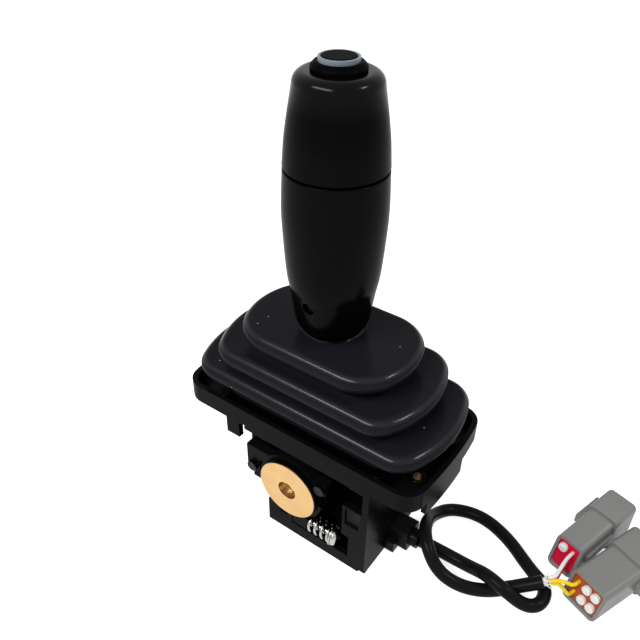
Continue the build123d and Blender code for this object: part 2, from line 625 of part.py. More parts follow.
def board_screw_points():
    left = HOUSING_LEFT_X + HOUSING_WALL + BOARD_POST_INSET
    right = HOUSING_RIGHT_X - HOUSING_WALL - BOARD_POST_INSET
    return [(x, side * (BOARD_HALF_WIDTH - BOARD_POST_INSET)) for x in (left, right) for side in (-1, 1)]


def sensor_board():
    bottom = board_bottom()
    left = HOUSING_LEFT_X + HOUSING_WALL + COVER_CLEARANCE
    right = HOUSING_RIGHT_X - HOUSING_WALL - COVER_CLEARANCE
    board = block(left, right, -BOARD_HALF_WIDTH, BOARD_HALF_WIDTH, bottom, bottom + BOARD_THICKNESS)
    for x, y in board_screw_points():
        board -= rod_z(BOARD_SCREW_RADIUS, bottom, bottom + BOARD_THICKNESS, x, y)
    return board


def board_screws():
    top = board_bottom() + BOARD_THICKNESS
    screws = []
    for x, y in board_screw_points():
        shank = rod_z(BOARD_SCREW_RADIUS, top - BOARD_SCREW_LENGTH, top, x, y)
        screws.append(shank + rod_z(2 * BOARD_SCREW_RADIUS, top, top + BOARD_SCREW_RADIUS, x, y))
    return Compound(screws)


def hall_sensor():
    top = board_bottom() + BOARD_THICKNESS
    return block(-HALL_HALF_SIDE, HALL_HALF_SIDE, -HALL_HALF_SIDE, HALL_HALF_SIDE, top, top + HALL_HEIGHT)


# ---- lever -------------------------------------------------------------------------------------
def lever_hub():
    """The moulded yoke on the pivot pin, with a collar for the rod."""
    bottom = PIVOT_Z - HUB_BELOW_PIVOT
    top = PIVOT_Z + HUB_ABOVE_PIVOT
    body = block(-HUB_HALF_LENGTH, HUB_HALF_LENGTH, -HUB_HALF_WIDTH, HUB_HALF_WIDTH, bottom, top)
    body = fillet(body.edges().filter_by(Axis.Y), 4.0)
    body += rod_z(HUB_COLLAR_RADIUS, top, top + HUB_COLLAR_HEIGHT)
    body -= rod_y(PIN_RADIUS + FIT, -HUB_HALF_WIDTH, HUB_HALF_WIDTH, 0, PIVOT_Z)
    body -= rod_z(ROD_RADIUS + FIT, ROD_BOTTOM_Z, top + HUB_COLLAR_HEIGHT)
    roll_z = top + HUB_COLLAR_HEIGHT / 2
    return body - rod_y(ROLL_PIN_RADIUS, -HUB_COLLAR_RADIUS, HUB_COLLAR_RADIUS, 0, roll_z)


def pivot_pin():
    end = BUSH_FACE_Y + PIN_RECESS
    pin = rod_y(PIN_RADIUS, end, -end, 0, PIVOT_Z)
    pin = chamfer(pin.edges().filter_by(GeomType.CIRCLE), 0.5)
    slot = block(-0.6, 0.6, end, end + 1.0, PIVOT_Z - PIN_RADIUS, PIVOT_Z + PIN_RADIUS)
    return pin - slot


def bush_inner_y():
    """How far from the centre the bush's sleeve ends."""
    return -HOUSING_FRONT_Y - PLATE_THICKNESS - BUSH_SLEEVE_PROUD


def spacer_rings():
    """Rings on the pin that keep the hub centred between the bushes."""
    rings = []
    for side in (-1, 1):
        y0, y1 = sorted((side * HUB_HALF_WIDTH, side * (bush_inner_y() - SPACER_GAP)))
        rings.append(rod_y(SPACER_RADIUS, y0, y1, 0, PIVOT_Z) - rod_y(PIN_RADIUS + FIT, y0, y1, 0, PIVOT_Z))
    return Compound(rings)


def roll_pin():
    z = PIVOT_Z + HUB_ABOVE_PIVOT + HUB_COLLAR_HEIGHT / 2
    return rod_y(ROLL_PIN_RADIUS, -HUB_COLLAR_RADIUS, HUB_COLLAR_RADIUS, 0, z)


def lever_rod():
    """Hollow steel rod, cross-drilled for the roll pin; the switch's wires run inside it."""
    bar = rod_z(ROD_RADIUS, ROD_BOTTOM_Z, ROD_TOP_Z) - rod_z(ROD_RADIUS - 2.0, ROD_BOTTOM_Z, ROD_TOP_Z)
    z = PIVOT_Z + HUB_ABOVE_PIVOT + HUB_COLLAR_HEIGHT / 2
    return bar - rod_y(ROLL_PIN_RADIUS, -ROD_RADIUS, ROD_RADIUS, 0, z)


def switch_lead():
    """The button switch's lead, down the bore of the rod and past the roll pin."""
    return rod_z(LEAD_RADIUS, ROD_BOTTOM_Z, switch_top() - SWITCH_HEIGHT, LEAD_X)


def magnet_carrier():
    top = PIVOT_Z - HUB_BELOW_PIVOT
    body = rod_z(MAGNET_CARRIER_RADIUS, top - MAGNET_CARRIER_HEIGHT, top)
    return body - rod_z(MAGNET_RADIUS, top - MAGNET_CARRIER_HEIGHT, top - MAGNET_CARRIER_HEIGHT + MAGNET_HEIGHT)


def magnet():
    bottom = PIVOT_Z - HUB_BELOW_PIVOT - MAGNET_CARRIER_HEIGHT
    return rod_z(MAGNET_RADIUS, bottom, bottom + MAGNET_HEIGHT)


# ---- grip --------------------------------------------------------------------------------------
def grip_lower_shell():
    """The barrel below the seam: a turned outline, a socket for the rod and a spigot for the upper shell."""
    z0 = GRIP_BOTTOM_Z
    seam = z0 + GRIP_SEAM_HEIGHT
    outer = [(r, z0 + h) for r, h in GRIP_LOWER_PROFILE]
    foot = (outer[0][0] - GRIP_FOOT_LIP, z0)
    seam_point = (GRIP_SEAM_RADIUS, seam - GRIP_SEAM_GROOVE)
    side = Spline(outer + [seam_point])
    edges = [
        Line((0, z0), foot), Line(foot, outer[0]), side,
        Line(seam_point, (GRIP_SEAM_RADIUS - GRIP_SEAM_GROOVE, seam)),
        Line((GRIP_SEAM_RADIUS - GRIP_SEAM_GROOVE, seam), (0, seam)), Line((0, seam), (0, z0)),
    ]
    body = revolve(Plane.XZ * make_face(edges), Axis.Z)
    cavity_radius = GRIP_SEAM_RADIUS - 2 * GRIP_WALL
    spigot_radius = GRIP_SEAM_RADIUS - GRIP_WALL - GRIP_SPIGOT_CLEARANCE
    body += rod_z(spigot_radius, seam, seam + GRIP_SPIGOT_HEIGHT)
    body -= rod_z(cavity_radius, z0 + GRIP_CAVITY_FLOOR, seam + GRIP_SPIGOT_HEIGHT)
    body -= rod_z(ROD_RADIUS + FIT, z0, z0 + GRIP_CAVITY_FLOOR)
    screw_z = z0 + GRIP_SCREW_HEIGHT
    seat_y = -GRIP_LOWER_PROFILE[2][0] + GRIP_SCREW_SEAT_DEPTH
    body -= rod_y(GRIP_SCREW_RECESS_RADIUS, -GRIP_SEAM_RADIUS, seat_y, 0, screw_z)
    return body - rod_y(GRIP_SCREW_RADIUS, seat_y, -ROD_RADIUS, 0, screw_z)


def grip_screw():
    z = GRIP_BOTTOM_Z + GRIP_SCREW_HEIGHT
    seat_y = -GRIP_LOWER_PROFILE[2][0] + GRIP_SCREW_SEAT_DEPTH
    head = rod_y(GRIP_SCREW_HEAD_RADIUS, seat_y - GRIP_SCREW_HEAD_HEIGHT, seat_y, 0, z)
    return head + rod_y(GRIP_SCREW_RADIUS, seat_y, -ROD_RADIUS - FIT, 0, z)


def grip_upper_shell():
    """The cap of the grip: a turned outline with a rounded shoulder and a hole for the button."""
    z0 = GRIP_BOTTOM_Z
    seam = z0 + GRIP_SEAM_HEIGHT
    top = z0 + GRIP_HEIGHT
    shoulder = (GRIP_SHOULDER_RADIUS, top - GRIP_SHOULDER_FILLET)
    rim = (GRIP_SHOULDER_RADIUS - GRIP_SHOULDER_FILLET, top)
    groove = (GRIP_SEAM_RADIUS - GRIP_SEAM_GROOVE, seam)
    start = (GRIP_SEAM_RADIUS, seam + GRIP_SEAM_GROOVE)
    between = [(r, seam + share * (shoulder[1] - seam)) for r, share in GRIP_UPPER_PROFILE]
    side = Spline([start] + between + [shoulder])
    edges = [
        Line((0, seam), groove), Line(groove, start), side,
        TangentArc(shoulder, rim, tangent=side.tangent_at(1)),
        Line(rim, (0, top)), Line((0, top), (0, seam)),
    ]
    body = revolve(Plane.XZ * make_face(edges), Axis.Z)
    body -= rod_z(GRIP_SEAM_RADIUS - GRIP_WALL, seam, seam + GRIP_SPIGOT_HEIGHT + GRIP_SPIGOT_CLEARANCE)
    body -= rod_z(GRIP_SHOULDER_RADIUS - GRIP_WALL, seam, top - GRIP_WALL)
    return body - rod_z(SWITCH_RADIUS + FIT, seam, top)


# ---- button ------------------------------------------------------------------------------------
def button_bezel():
    base = GRIP_BOTTOM_Z + GRIP_HEIGHT
    bezel = rod_z(BEZEL_RADIUS, base, base + BEZEL_HEIGHT)
    bezel = chamfer(bezel.edges().group_by(Axis.Z)[-1], BEZEL_CHAMFER)
    return bezel - rod_z(RING_RADIUS, base, base + BEZEL_HEIGHT)


def button_ring():
    base = GRIP_BOTTOM_Z + GRIP_HEIGHT
    ring = rod_z(RING_RADIUS, base, base + BEZEL_HEIGHT + RING_PROUD)
    return ring - rod_z(CAP_RADIUS + CAP_CLEARANCE, base, base + BEZEL_HEIGHT + RING_PROUD)


def cap_top():
    """The cap stands a little above the ring, and the ring on the bezel."""
    return GRIP_BOTTOM_Z + GRIP_HEIGHT + BEZEL_HEIGHT + RING_PROUD + CAP_PROUD


def button_cap():
    bottom = cap_top() - CAP_THICKNESS
    cap = rod_z(CAP_RADIUS, bottom, cap_top())
    cap = fillet(cap.edges().group_by(Axis.Z)[-1], 0.6)
    return cap + rod_z(STEM_RADIUS, bottom - STEM_LENGTH, bottom)


def switch_top():
    return cap_top() - CAP_THICKNESS - SWITCH_TOP_GAP


def switch_body():
    top = switch_top()
    barrel = rod_z(SWITCH_RADIUS, top - SWITCH_HEIGHT, top)
    flange = rod_z(SWITCH_RADIUS, top, GRIP_BOTTOM_Z + GRIP_HEIGHT)
    barrel += flange - rod_z(CAP_RADIUS + CAP_CLEARANCE, top, GRIP_BOTTOM_Z + GRIP_HEIGHT)
    return barrel


def button_spring():
    length = SWITCH_TOP_GAP
    spring = helix_spring(BUTTON_SPRING_RADIUS, BUTTON_SPRING_WIRE_RADIUS, length, BUTTON_SPRING_TURNS)
    return Pos(0, 0, switch_top()) * spring


# ---- cable -------------------------------------------------------------------------------------
def cable_gland():
    """The strain relief on the housing's right wall: a block with a foot and a round collar."""
    x0 = HOUSING_RIGHT_X
    body = block(x0, x0 + GLAND_LENGTH, GLAND_Y - GLAND_HALF_WIDTH, GLAND_Y + GLAND_HALF_WIDTH,
                 GLAND_Z - GLAND_HALF_WIDTH, GLAND_Z + GLAND_HALF_WIDTH)
    body = fillet(body.edges().filter_by(Axis.X), GLAND_CORNER)
    body += rod_x(GLAND_COLLAR_RADIUS, x0 + GLAND_LENGTH, CABLE_ROUTE[0][0], GLAND_Y, GLAND_Z)
    foot_y = GLAND_Y - GLAND_HALF_WIDTH
    body += block(x0, x0 + GLAND_FOOT_LENGTH, foot_y - GLAND_FOOT_WIDTH, foot_y + GLAND_CORNER,
                  HOUSING_BOTTOM_Z + GLAND_FOOT_RISE, GLAND_Z)
    start = Vector(*CABLE_ROUTE[0])
    direction = (Vector(*CABLE_ROUTE[1]) - start).normalized()
    bore = Plane(origin=start, z_dir=direction) * Circle(CABLE_DIAMETER / 2 + FIT)
    return body - extrude(bore, GLAND_LENGTH)


def route_radii(route):
    """Each corner's radius: 0.45 of its shorter run over the tangent of half its turn."""
    points = [Vector(*p) for p in route]
    radii = []
    for before, corner, after in zip(points, points[1:], points[2:]):
        run_in = corner - before
        run_out = after - corner
        turn = math.radians(run_in.get_angle(run_out))
        radii.append(0.45 * min(run_in.length, run_out.length) / math.tan(turn / 2))
    return radii


def round_tube(route, radius):
    """A tube along straight runs joined by tangent arcs."""
    path = FilletPolyline(*route, radius=route_radii(route))
    section = Plane(origin=path.position_at(0), z_dir=path.tangent_at(0)) * Circle(radius)
    return sweep(section, path=path), path


def cable():
    tube, path = round_tube(CABLE_ROUTE, CABLE_DIAMETER / 2)
    section = math.pi * (CABLE_DIAMETER / 2) ** 2
    print("cable radii", [round(r, 1) for r in route_radii(CABLE_ROUTE)])
    print("cable length", round(path.length, 1), "volume ratio", round(tube.volume / (section * path.length), 4))
    return tube


def cable_end():
    """The cut end of the cable and the direction that it points in."""
    last = Vector(*CABLE_ROUTE[-1])
    direction = (last - Vector(*CABLE_ROUTE[-2])).normalized()
    return last, direction


def cable_sleeve():
    """The inner sheath that stands out of the cut end."""
    start, direction = cable_end()
    return extrude(Plane(origin=start, z_dir=direction) * Circle(SLEEVE_RADIUS), SLEEVE_LENGTH)


def connector_place(size):
    """Where a connector lies: its rear face's centre on the floor, turned to its heading."""
    return Pos(size["x"], size["y"], HOUSING_BOTTOM_Z) * Rot(0, 0, size["heading"])


def connector_section(size, margin, corner, x):
    """The rear body's cross-section at x, shrunk by a margin all round."""
    plane = Plane(origin=(x, 0, 0), x_dir=(0, 1, 0), z_dir=(1, 0, 0))
    centre = size["height"] / 2 + CONNECTOR_SHROUD_STEP
    height = size["height"] - CONNECTOR_SHROUD_STEP
    return plane * Pos(0, centre) * RectangleRounded(size["width"] - 2 * margin, height - 2 * margin, corner)


def connector_top(size):
    return size["height"] + CONNECTOR_SHROUD_STEP / 2


def rear_face_x(size, z, inset):
    """Where the raked rear face, moved in by an inset, stands at height z."""
    return inset - CONNECTOR_RAKE * (1 - z / connector_top(size))


def ahead_of_rake(size, inset):
    """All that lies in front of the raked rear face."""
    low = -2.0
    high = connector_top(size) + 2.0
    ahead = CONNECTOR_BODY_LENGTH
    points = [(rear_face_x(size, low, inset), low), (ahead, low), (ahead, high),
              (rear_face_x(size, high, inset), high)]
    return extrude(Plane.XZ * make_face(Polyline(points, close=True)), size["width"], both=True)


def connector_hole_points(size):
    """The wire holes in the rear seal, across the width and in two rows."""
    margin = 2 * CONNECTOR_WALL + CONNECTOR_HOLE_MARGIN
    pitch_y = (size["width"] - margin) / size["columns"]
    pitch_z = (size["height"] - CONNECTOR_SHROUD_STEP - margin) / 2
    centre = size["height"] / 2 + CONNECTOR_SHROUD_STEP
    offsets = [pitch_y * (i - (size["columns"] - 1) / 2) for i in range(size["columns"])]
    return [(y, centre + sz * pitch_z / 2) for y in offsets for sz in (-1, 1)]


def wire(size, hole, left_offset, up_offset):
    """A wire from the cable's sleeve to a hole of a connector's seal."""
    end, direction = cable_end()
    left = Vector(0, 0, 1).cross(direction)
    face = Plane(origin=end + direction * SLEEVE_LENGTH, x_dir=left, z_dir=direction)
    start = face.from_local_coords((left_offset, up_offset, 0))
    lead = start + direction * WIRE_LEAD
    y, z = connector_hole_points(size)[hole]
    x = rear_face_x(size, z, CONNECTOR_SEAL_INSET)
    place = connector_place(size)
    entry = (place * Pos(x + WIRE_RADIUS, y, z)).position
    before = (place * Pos(x - WIRE_APPROACH, y, z)).position
    middle = (lead + before) * 0.5 + Vector(0, 0, WIRE_RISE)
    tube, _ = round_tube([tuple(p) for p in (start, lead, middle, before, entry)], WIRE_RADIUS)
    return tube - place * ahead_of_rake(size, CONNECTOR_SEAL_INSET)


def connector_shroud(size):
    """The larger front part that takes the mating half."""
    w = size["width"] + 2 * CONNECTOR_SHROUD_STEP
    h = size["height"] + 2 * CONNECTOR_SHROUD_STEP
    plane = Plane(origin=(CONNECTOR_BODY_LENGTH, 0, 0), x_dir=(0, 1, 0), z_dir=(1, 0, 0))
    section = plane * Pos(0, h / 2) * RectangleRounded(w, h, CONNECTOR_CORNER)
    shroud = extrude(section, CONNECTOR_SHROUD_LENGTH)
    return fillet(shroud.edges().group_by(Axis.X)[-1], CONNECTOR_SHROUD_FILLET)


def connector_sides(size):
    """The latch on one side and the rail on the other."""
    length = CONNECTOR_BODY_LENGTH
    side = size["width"] / 2
    latch_y = side + CONNECTOR_SHROUD_STEP
    middle = size["height"] / 2 + CONNECTOR_SHROUD_STEP
    half = CONNECTOR_LATCH_WIDTH / 2
    latch = block(length - CONNECTOR_LATCH_BEHIND, length + CONNECTOR_LATCH_AHEAD, side - 0.5,
                  latch_y + CONNECTOR_LATCH_HEIGHT, middle - half, middle + half)
    rail_z = middle - CONNECTOR_RAIL_HEIGHT / 2
    rail = block(CONNECTOR_RAIL_START, length, -side - CONNECTOR_RAIL_PROUD, -side + 0.5,
                 rail_z, rail_z + CONNECTOR_RAIL_HEIGHT)
    sides = latch + rail
    return sides.mirror(Plane.XZ) if size["latch_side"] < 0 else sides


def connector_body(size):
    """The moulded shell: a rear body with a raked rear face, a front shroud, a latch and a rail."""
    back = -CONNECTOR_RAKE - 1
    rear = extrude(connector_section(size, 0, CONNECTOR_CORNER, back), CONNECTOR_BODY_LENGTH - back)
    rear &= ahead_of_rake(size, 0)
    body = rear + connector_shroud(size) + connector_sides(size)
    body -= extrude(connector_section(size, CONNECTOR_WALL, CONNECTOR_SEAL_CORNER, back),
                    CONNECTOR_SEAL_DEPTH - back)
    face_x = CONNECTOR_BODY_LENGTH + CONNECTOR_SHROUD_LENGTH - CONNECTOR_FACE_RECESS
    body -= extrude(connector_section(size, CONNECTOR_SHROUD_STEP, CONNECTOR_SEAL_CORNER, face_x),
                    CONNECTOR_FACE_RECESS)
    return connector_place(size) * body


def connector_seal(size):
    """The soft rear seal, whose wire holes are taken up by wires or blanking plugs."""
    back = -CONNECTOR_RAKE - 1
    seal = extrude(connector_section(size, CONNECTOR_WALL, CONNECTOR_SEAL_CORNER, back),
                   CONNECTOR_SEAL_DEPTH - back)
    return connector_place(size) * (seal & ahead_of_rake(size, CONNECTOR_SEAL_INSET))


def connector_wedge(size):
    """The terminal lock that fills the front of the shroud."""
    x = CONNECTOR_BODY_LENGTH + CONNECTOR_SHROUD_LENGTH - CONNECTOR_FACE_RECESS
    section = connector_section(size, CONNECTOR_WEDGE_MARGIN, CONNECTOR_SEAL_CORNER, x)
    return connector_place(size) * extrude(section, CONNECTOR_WEDGE_LENGTH)


def blanking_plugs(size, holes):
    """White plugs with rounded ends in the unused holes of a seal."""
    plugs = []
    points = connector_hole_points(size)
    for hole in holes:
        y, z = points[hole]
        x = rear_face_x(size, z, CONNECTOR_SEAL_INSET)
        plug = rod_x(CONNECTOR_PLUG_RADIUS, x - CONNECTOR_PLUG_PROUD, x + CONNECTOR_PLUG_ROOT, y, z)
        plug = fillet(plug.edges().group_by(Axis.X)[0], CONNECTOR_PLUG_ROUND)
        plugs.append(connector_place(size) * (plug - ahead_of_rake(size, CONNECTOR_SEAL_INSET)))
    return Compound(plugs)


def build():
    """Every sub-part by name."""
    both = {"front": -1, "rear": 1}
    parts = {
        "flange_tray": flange_tray(),
        "threaded_inserts": threaded_inserts(),
        "gaiter": gaiter(),
        "gaiter_clamp_frame": gaiter_clamp_frame(),
        "clamp_screws": clamp_screws(),
        "body_housing": body_housing(),
        "base_cover": base_cover(),
        "cover_screws": cover_screws(),
        "flange_screws": flange_screws(),
        "plate_screws": plate_screws(),
        "brake_block": brake_block(),
        "brake_screw": brake_screw(),
        "brake_washer": brake_washer(),
        "brake_spring": brake_spring(),
        "sensor_board": sensor_board(),
        "board_screws": board_screws(),
        "hall_sensor": hall_sensor(),
        "lever_hub": lever_hub(),
        "pivot_pin": pivot_pin(),
        "spacer_rings": spacer_rings(),
        "roll_pin": roll_pin(),
        "lever_rod": lever_rod(),
        "switch_lead": switch_lead(),
        "magnet_carrier": magnet_carrier(),
        "magnet": magnet(),
        "grip_lower_shell": grip_lower_shell(),
        "grip_upper_shell": grip_upper_shell(),
        "grip_screw": grip_screw(),
        "button_bezel": button_bezel(),
        "button_ring": button_ring(),
        "button_cap": button_cap(),
        "switch_body": switch_body(),
        "button_spring": button_spring(),
        "cable_gland": cable_gland(),
        "cable": cable(),
        "cable_sleeve": cable_sleeve(),
    }
    for name, side in both.items():
        parts[f"{name}_bearing_plate"] = bearing_plate(side)
        parts[f"{name}_pivot_bush"] = pivot_bush(side)
    for name, size, plugs in (("small", SMALL_CONNECTOR, [3]), ("large", LARGE_CONNECTOR, [0, 1, 2, 3])):
        parts[f"{name}_connector_body"] = connector_body(size)
        parts[f"{name}_connector_seal"] = connector_seal(size)
        parts[f"{name}_connector_wedge"] = connector_wedge(size)
        parts[f"{name}_connector_plugs"] = blanking_plugs(size, plugs)
    parts["white_wire"] = wire(SMALL_CONNECTOR, 1, WIRE_SPACING, WIRE_SPACING)
    parts["red_wire"] = wire(SMALL_CONNECTOR, 0, WIRE_SPACING, -WIRE_SPACING)
    parts["upper_yellow_wire"] = wire(LARGE_CONNECTOR, 5, -WIRE_SPACING, WIRE_SPACING)
    parts["lower_yellow_wire"] = wire(LARGE_CONNECTOR, 4, -WIRE_SPACING, -WIRE_SPACING)
    return parts


os.makedirs("parts", exist_ok=True)
for name, shape in build().items():
    export_step(shape, f"parts/{name}.step")
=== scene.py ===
"""Finishes and soft parts of a single-axis joystick controller, laid out as an add-on.

Every length is in metres, in the part's own frame: +Z up the lever, +X towards the cable outlet.
"""
import json
import math

import bmesh
import bpy
import numpy as np
from bpy.props import FloatProperty, FloatVectorProperty, IntProperty, PointerProperty
from mathutils import Matrix, Vector

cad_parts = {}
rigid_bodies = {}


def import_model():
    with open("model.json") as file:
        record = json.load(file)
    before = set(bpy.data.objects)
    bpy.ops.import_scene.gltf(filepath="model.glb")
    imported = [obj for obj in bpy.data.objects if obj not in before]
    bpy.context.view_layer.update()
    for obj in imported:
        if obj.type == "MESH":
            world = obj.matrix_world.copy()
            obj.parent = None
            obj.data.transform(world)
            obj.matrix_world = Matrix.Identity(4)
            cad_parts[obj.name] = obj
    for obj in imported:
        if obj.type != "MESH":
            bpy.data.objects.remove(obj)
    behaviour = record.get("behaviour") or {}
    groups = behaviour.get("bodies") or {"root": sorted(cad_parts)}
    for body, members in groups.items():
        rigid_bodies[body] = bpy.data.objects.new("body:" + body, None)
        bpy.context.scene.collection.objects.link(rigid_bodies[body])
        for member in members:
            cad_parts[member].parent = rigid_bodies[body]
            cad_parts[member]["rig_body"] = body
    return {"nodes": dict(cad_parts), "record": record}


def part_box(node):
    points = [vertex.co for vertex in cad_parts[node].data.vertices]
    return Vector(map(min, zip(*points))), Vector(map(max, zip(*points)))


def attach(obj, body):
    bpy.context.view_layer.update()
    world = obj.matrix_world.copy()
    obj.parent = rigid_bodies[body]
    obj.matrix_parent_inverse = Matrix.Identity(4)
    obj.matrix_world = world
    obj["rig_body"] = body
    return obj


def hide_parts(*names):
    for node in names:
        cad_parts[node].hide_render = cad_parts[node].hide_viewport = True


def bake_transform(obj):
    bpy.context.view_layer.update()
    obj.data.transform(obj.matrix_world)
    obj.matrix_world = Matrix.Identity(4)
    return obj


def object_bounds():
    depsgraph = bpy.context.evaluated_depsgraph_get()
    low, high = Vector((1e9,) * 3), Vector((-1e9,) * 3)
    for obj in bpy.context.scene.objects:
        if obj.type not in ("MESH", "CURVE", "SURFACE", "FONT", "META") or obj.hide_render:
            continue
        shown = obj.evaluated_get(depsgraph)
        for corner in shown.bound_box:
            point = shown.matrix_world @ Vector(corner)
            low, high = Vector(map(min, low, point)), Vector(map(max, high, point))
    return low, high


bl_info = {
    "name": "Joystick controller looks",
    "version": (1, 0, 0),
    "blender": (4, 5, 0),
    "location": "3D View > Sidebar > Joystick",
    "description": "Builds the gaiter, grip, cable and finishes of a joystick controller",
    "category": "Object",
}

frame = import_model()
NODES = frame["nodes"]
CAD_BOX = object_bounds()

# the gaiter's steps, from the top: half length, half width, corner radius, end bow, height of the widest line
GAITER_STEPS = np.array([
    (42.4, 27.2, 22.0, 12.0, 47.8),
    (54.2, 31.0, 15.0, 11.0, 34.0),
    (65.2, 31.8, 14.5, 9.0, 20.6),
]) * 0.001
# the grip's outer radius at heights above its foot
GRIP_LOWER_PROFILE = np.array([
    (14.6, 1.8), (16.3, 5.0), (17.6, 13.4), (18.5, 19.4),
    (20.0, 28.5), (21.2, 44.6), (21.7, 58.0), (21.1, 74.4),
]) * 0.001
GRIP_UPPER_PROFILE = np.array([
    (21.1, 76.0), (20.3, 86.0), (19.3, 93.5), (18.1, 101.0), (17.1, 107.3),
]) * 0.001
GRIP_BORE = 0.009
GRIP_FOOT_FILLET = 0.0018
GRIP_SEAM_EDGE = 0.0004
GRIP_SPIGOT = 0.001
# the gaiter's foot: half length, half width, corner radius and end bow, and the heights that it spans
GAITER_FOOT = (0.0495, 0.0233, 0.009, 0.0015)
GAITER_FOOT_HEIGHTS = (0.003, 0.0150)
# a step's flat: how deep it is dished, how far it rises into the neck above, and that neck's first height
FLAT_DISH = 0.0004
FLAT_RISE = 0.0008
NECK_RISE = 0.0022
# the collar round the rod: where it leaves the top flat, then its radii and heights above that flat
COLLAR_FOOT = (0.0125, 0.0003)
COLLAR_PROFILE = ((0.0122, 0.0006), (0.0114, 0.0010), (0.0098, 0.0010))
COLLAR_LIP = 0.0008
BUTTON_WIRE = 0.00035
BUTTON_TURNS = 5
BRAKE_COIL_INSET = 0.0007
BRAKE_SOCKET_DEPTH = 0.0018
# the cable's route, as in the part's source
CABLE_FLOOR = -55.9
CABLE_HUMP = CABLE_FLOOR + 7.6
CABLE_ARCH = CABLE_FLOOR + 13.9
CABLE_ROUTE = np.array([
    (57.6, -3.0, -52.0), (70.3, 0.4, CABLE_FLOOR), (83.1, 0.7, CABLE_FLOOR), (93.1, -3.8, CABLE_HUMP),
    (103.4, -6.4, CABLE_HUMP), (113.5, -3.3, CABLE_FLOOR), (119.3, 2.1, CABLE_FLOOR),
    (117.8, 11.9, CABLE_FLOOR), (106.8, 17.1, CABLE_FLOOR), (92.1, 27.0, CABLE_FLOOR),
    (75.5, 32.0, CABLE_FLOOR), (60.4, 27.4, CABLE_FLOOR), (54.7, 15.0, CABLE_FLOOR + 3.0),
    (58.2, -1.0, CABLE_ARCH), (64.2, -10.3, CABLE_ARCH), (72.9, -14.4, CABLE_FLOOR + 5.9),
    (84.0, -12.6, CABLE_FLOOR + 1.0), (95.7, -6.7, CABLE_FLOOR), (105.2, 1.5, CABLE_FLOOR + 2.0),
    (116.1, 8.2, CABLE_HUMP),
]) * 0.001
# the torn sheath at the cable's cut end
CORE_INSET = 0.001
CORE_LENGTH = 0.0032
CORE_RADIUS = 0.0017
CORE_TAPER = 0.0004
STRAND_RING = 0.0015
STRAND_RADIUS = 0.00045
STRAND_TAPER = 0.00025
# the bush's face: the height of the pivot that its rings run round, and the radius beyond which its side and
# rim are painted dark as shade
PIVOT_HEIGHT = -0.0252
PAINTED_SHADE_RIM_RADIUS = 0.01605
# the lamps: place, width, height and power
LAMP_AIM = (0.03, 0, 0.04)
LAMPS = {
    "front_box": ((-0.16, -0.74, 0.86), 0.8, 0.17, 10.5),
    "side_box": ((0.76, 0.30, 0.86), 0.22, 0.14, 3.4),
}
WORLD_LIGHT = 0.26
FLOOR_GLOW = 0.8
FLOOR_GAP = 0.00005
FLOOR_REACH = 4.0


class GripSettings(bpy.types.PropertyGroup):
    """Sizes of the turned grip."""

    foot: FloatProperty(name="Foot height", description="Height of the grip's foot", default=0.0538,
                        unit="LENGTH")
    height: FloatProperty(name="Height", description="From foot to top", default=0.1117, unit="LENGTH")
    seam_height: FloatProperty(name="Seam height", description="From foot to seam", default=0.0754,
                               unit="LENGTH")
    seam_groove: FloatProperty(name="Seam groove", description="Depth of the seam", default=0.0014,
                               unit="LENGTH")
    recess_height: FloatProperty(name="Recess height", description="Screw above the foot", default=0.018,
                                 unit="LENGTH")
    recess_radius: FloatProperty(name="Recess radius", description="Of the screw's recess", default=0.0029,
                                 unit="LENGTH")
    recess_seat: FloatProperty(name="Recess seat", description="Where the screw's head sits, from the axis",
                               default=0.0142, unit="LENGTH")
    shoulder: FloatProperty(name="Shoulder", description="Fillet at the top", default=0.0046, unit="LENGTH")
    colour: FloatVectorProperty(name="Colour", description="Moulded black", subtype="COLOR",
                                default=(0.0012, 0.0012, 0.0015))


class GaiterSettings(bpy.types.PropertyGroup):
    """Sizes of the stepped gaiter."""

    edge: FloatProperty(name="Edge", description="Radius of a step's rim", default=0.0044, unit="LENGTH")
    inset: FloatProperty(name="Neck inset", description="From a step's rim to the neck below it",
                         default=0.0085, unit="LENGTH")
    wall: FloatProperty(name="Wall", description="Thickness of the rubber", default=0.0016, unit="LENGTH")
    collar: FloatProperty(name="Collar", description="Radius of the collar on the rod", default=0.0064,
                          unit="LENGTH")
    around: IntProperty(name="Around", description="Points round each ring, in fours", default=288)
    colour: FloatVectorProperty(name="Colour", description="Black rubber", subtype="COLOR",
                                default=(0.0105, 0.0109, 0.0135))


class SpringSettings(bpy.types.PropertyGroup):
    """Sizes of the friction brake's spring and screw."""

    wire: FloatProperty(name="Wire", description="Radius of the spring's wire", default=0.00075,
                        unit="LENGTH")
    turns: FloatProperty(name="Turns", description="Turns of the spring", default=3.8)
    shank: FloatProperty(name="Shank", description="Radius of the screw's shank", default=0.0020,
                         unit="LENGTH")
    head_height: FloatProperty(name="Head height", description="Of the domed head", default=0.0028,
                               unit="LENGTH")
    socket: FloatProperty(name="Socket", description="Half the width across its flats", default=0.00147,
                          unit="LENGTH")


class CableSettings(bpy.types.PropertyGroup):
    """Sizes of the free cable."""

    diameter: FloatProperty(name="Diameter", description="Across the jacket", default=0.0064, unit="LENGTH")
    length: FloatProperty(name="Length", description="From gland to cut end", default=0.246, unit="LENGTH")
    strands: IntProperty(name="Strands", description="Torn strands at the cut end", default=11)
    colour: FloatVectorProperty(name="Colour", description="Black jacket", subtype="COLOR",
                                default=(0.007, 0.007, 0.0085))


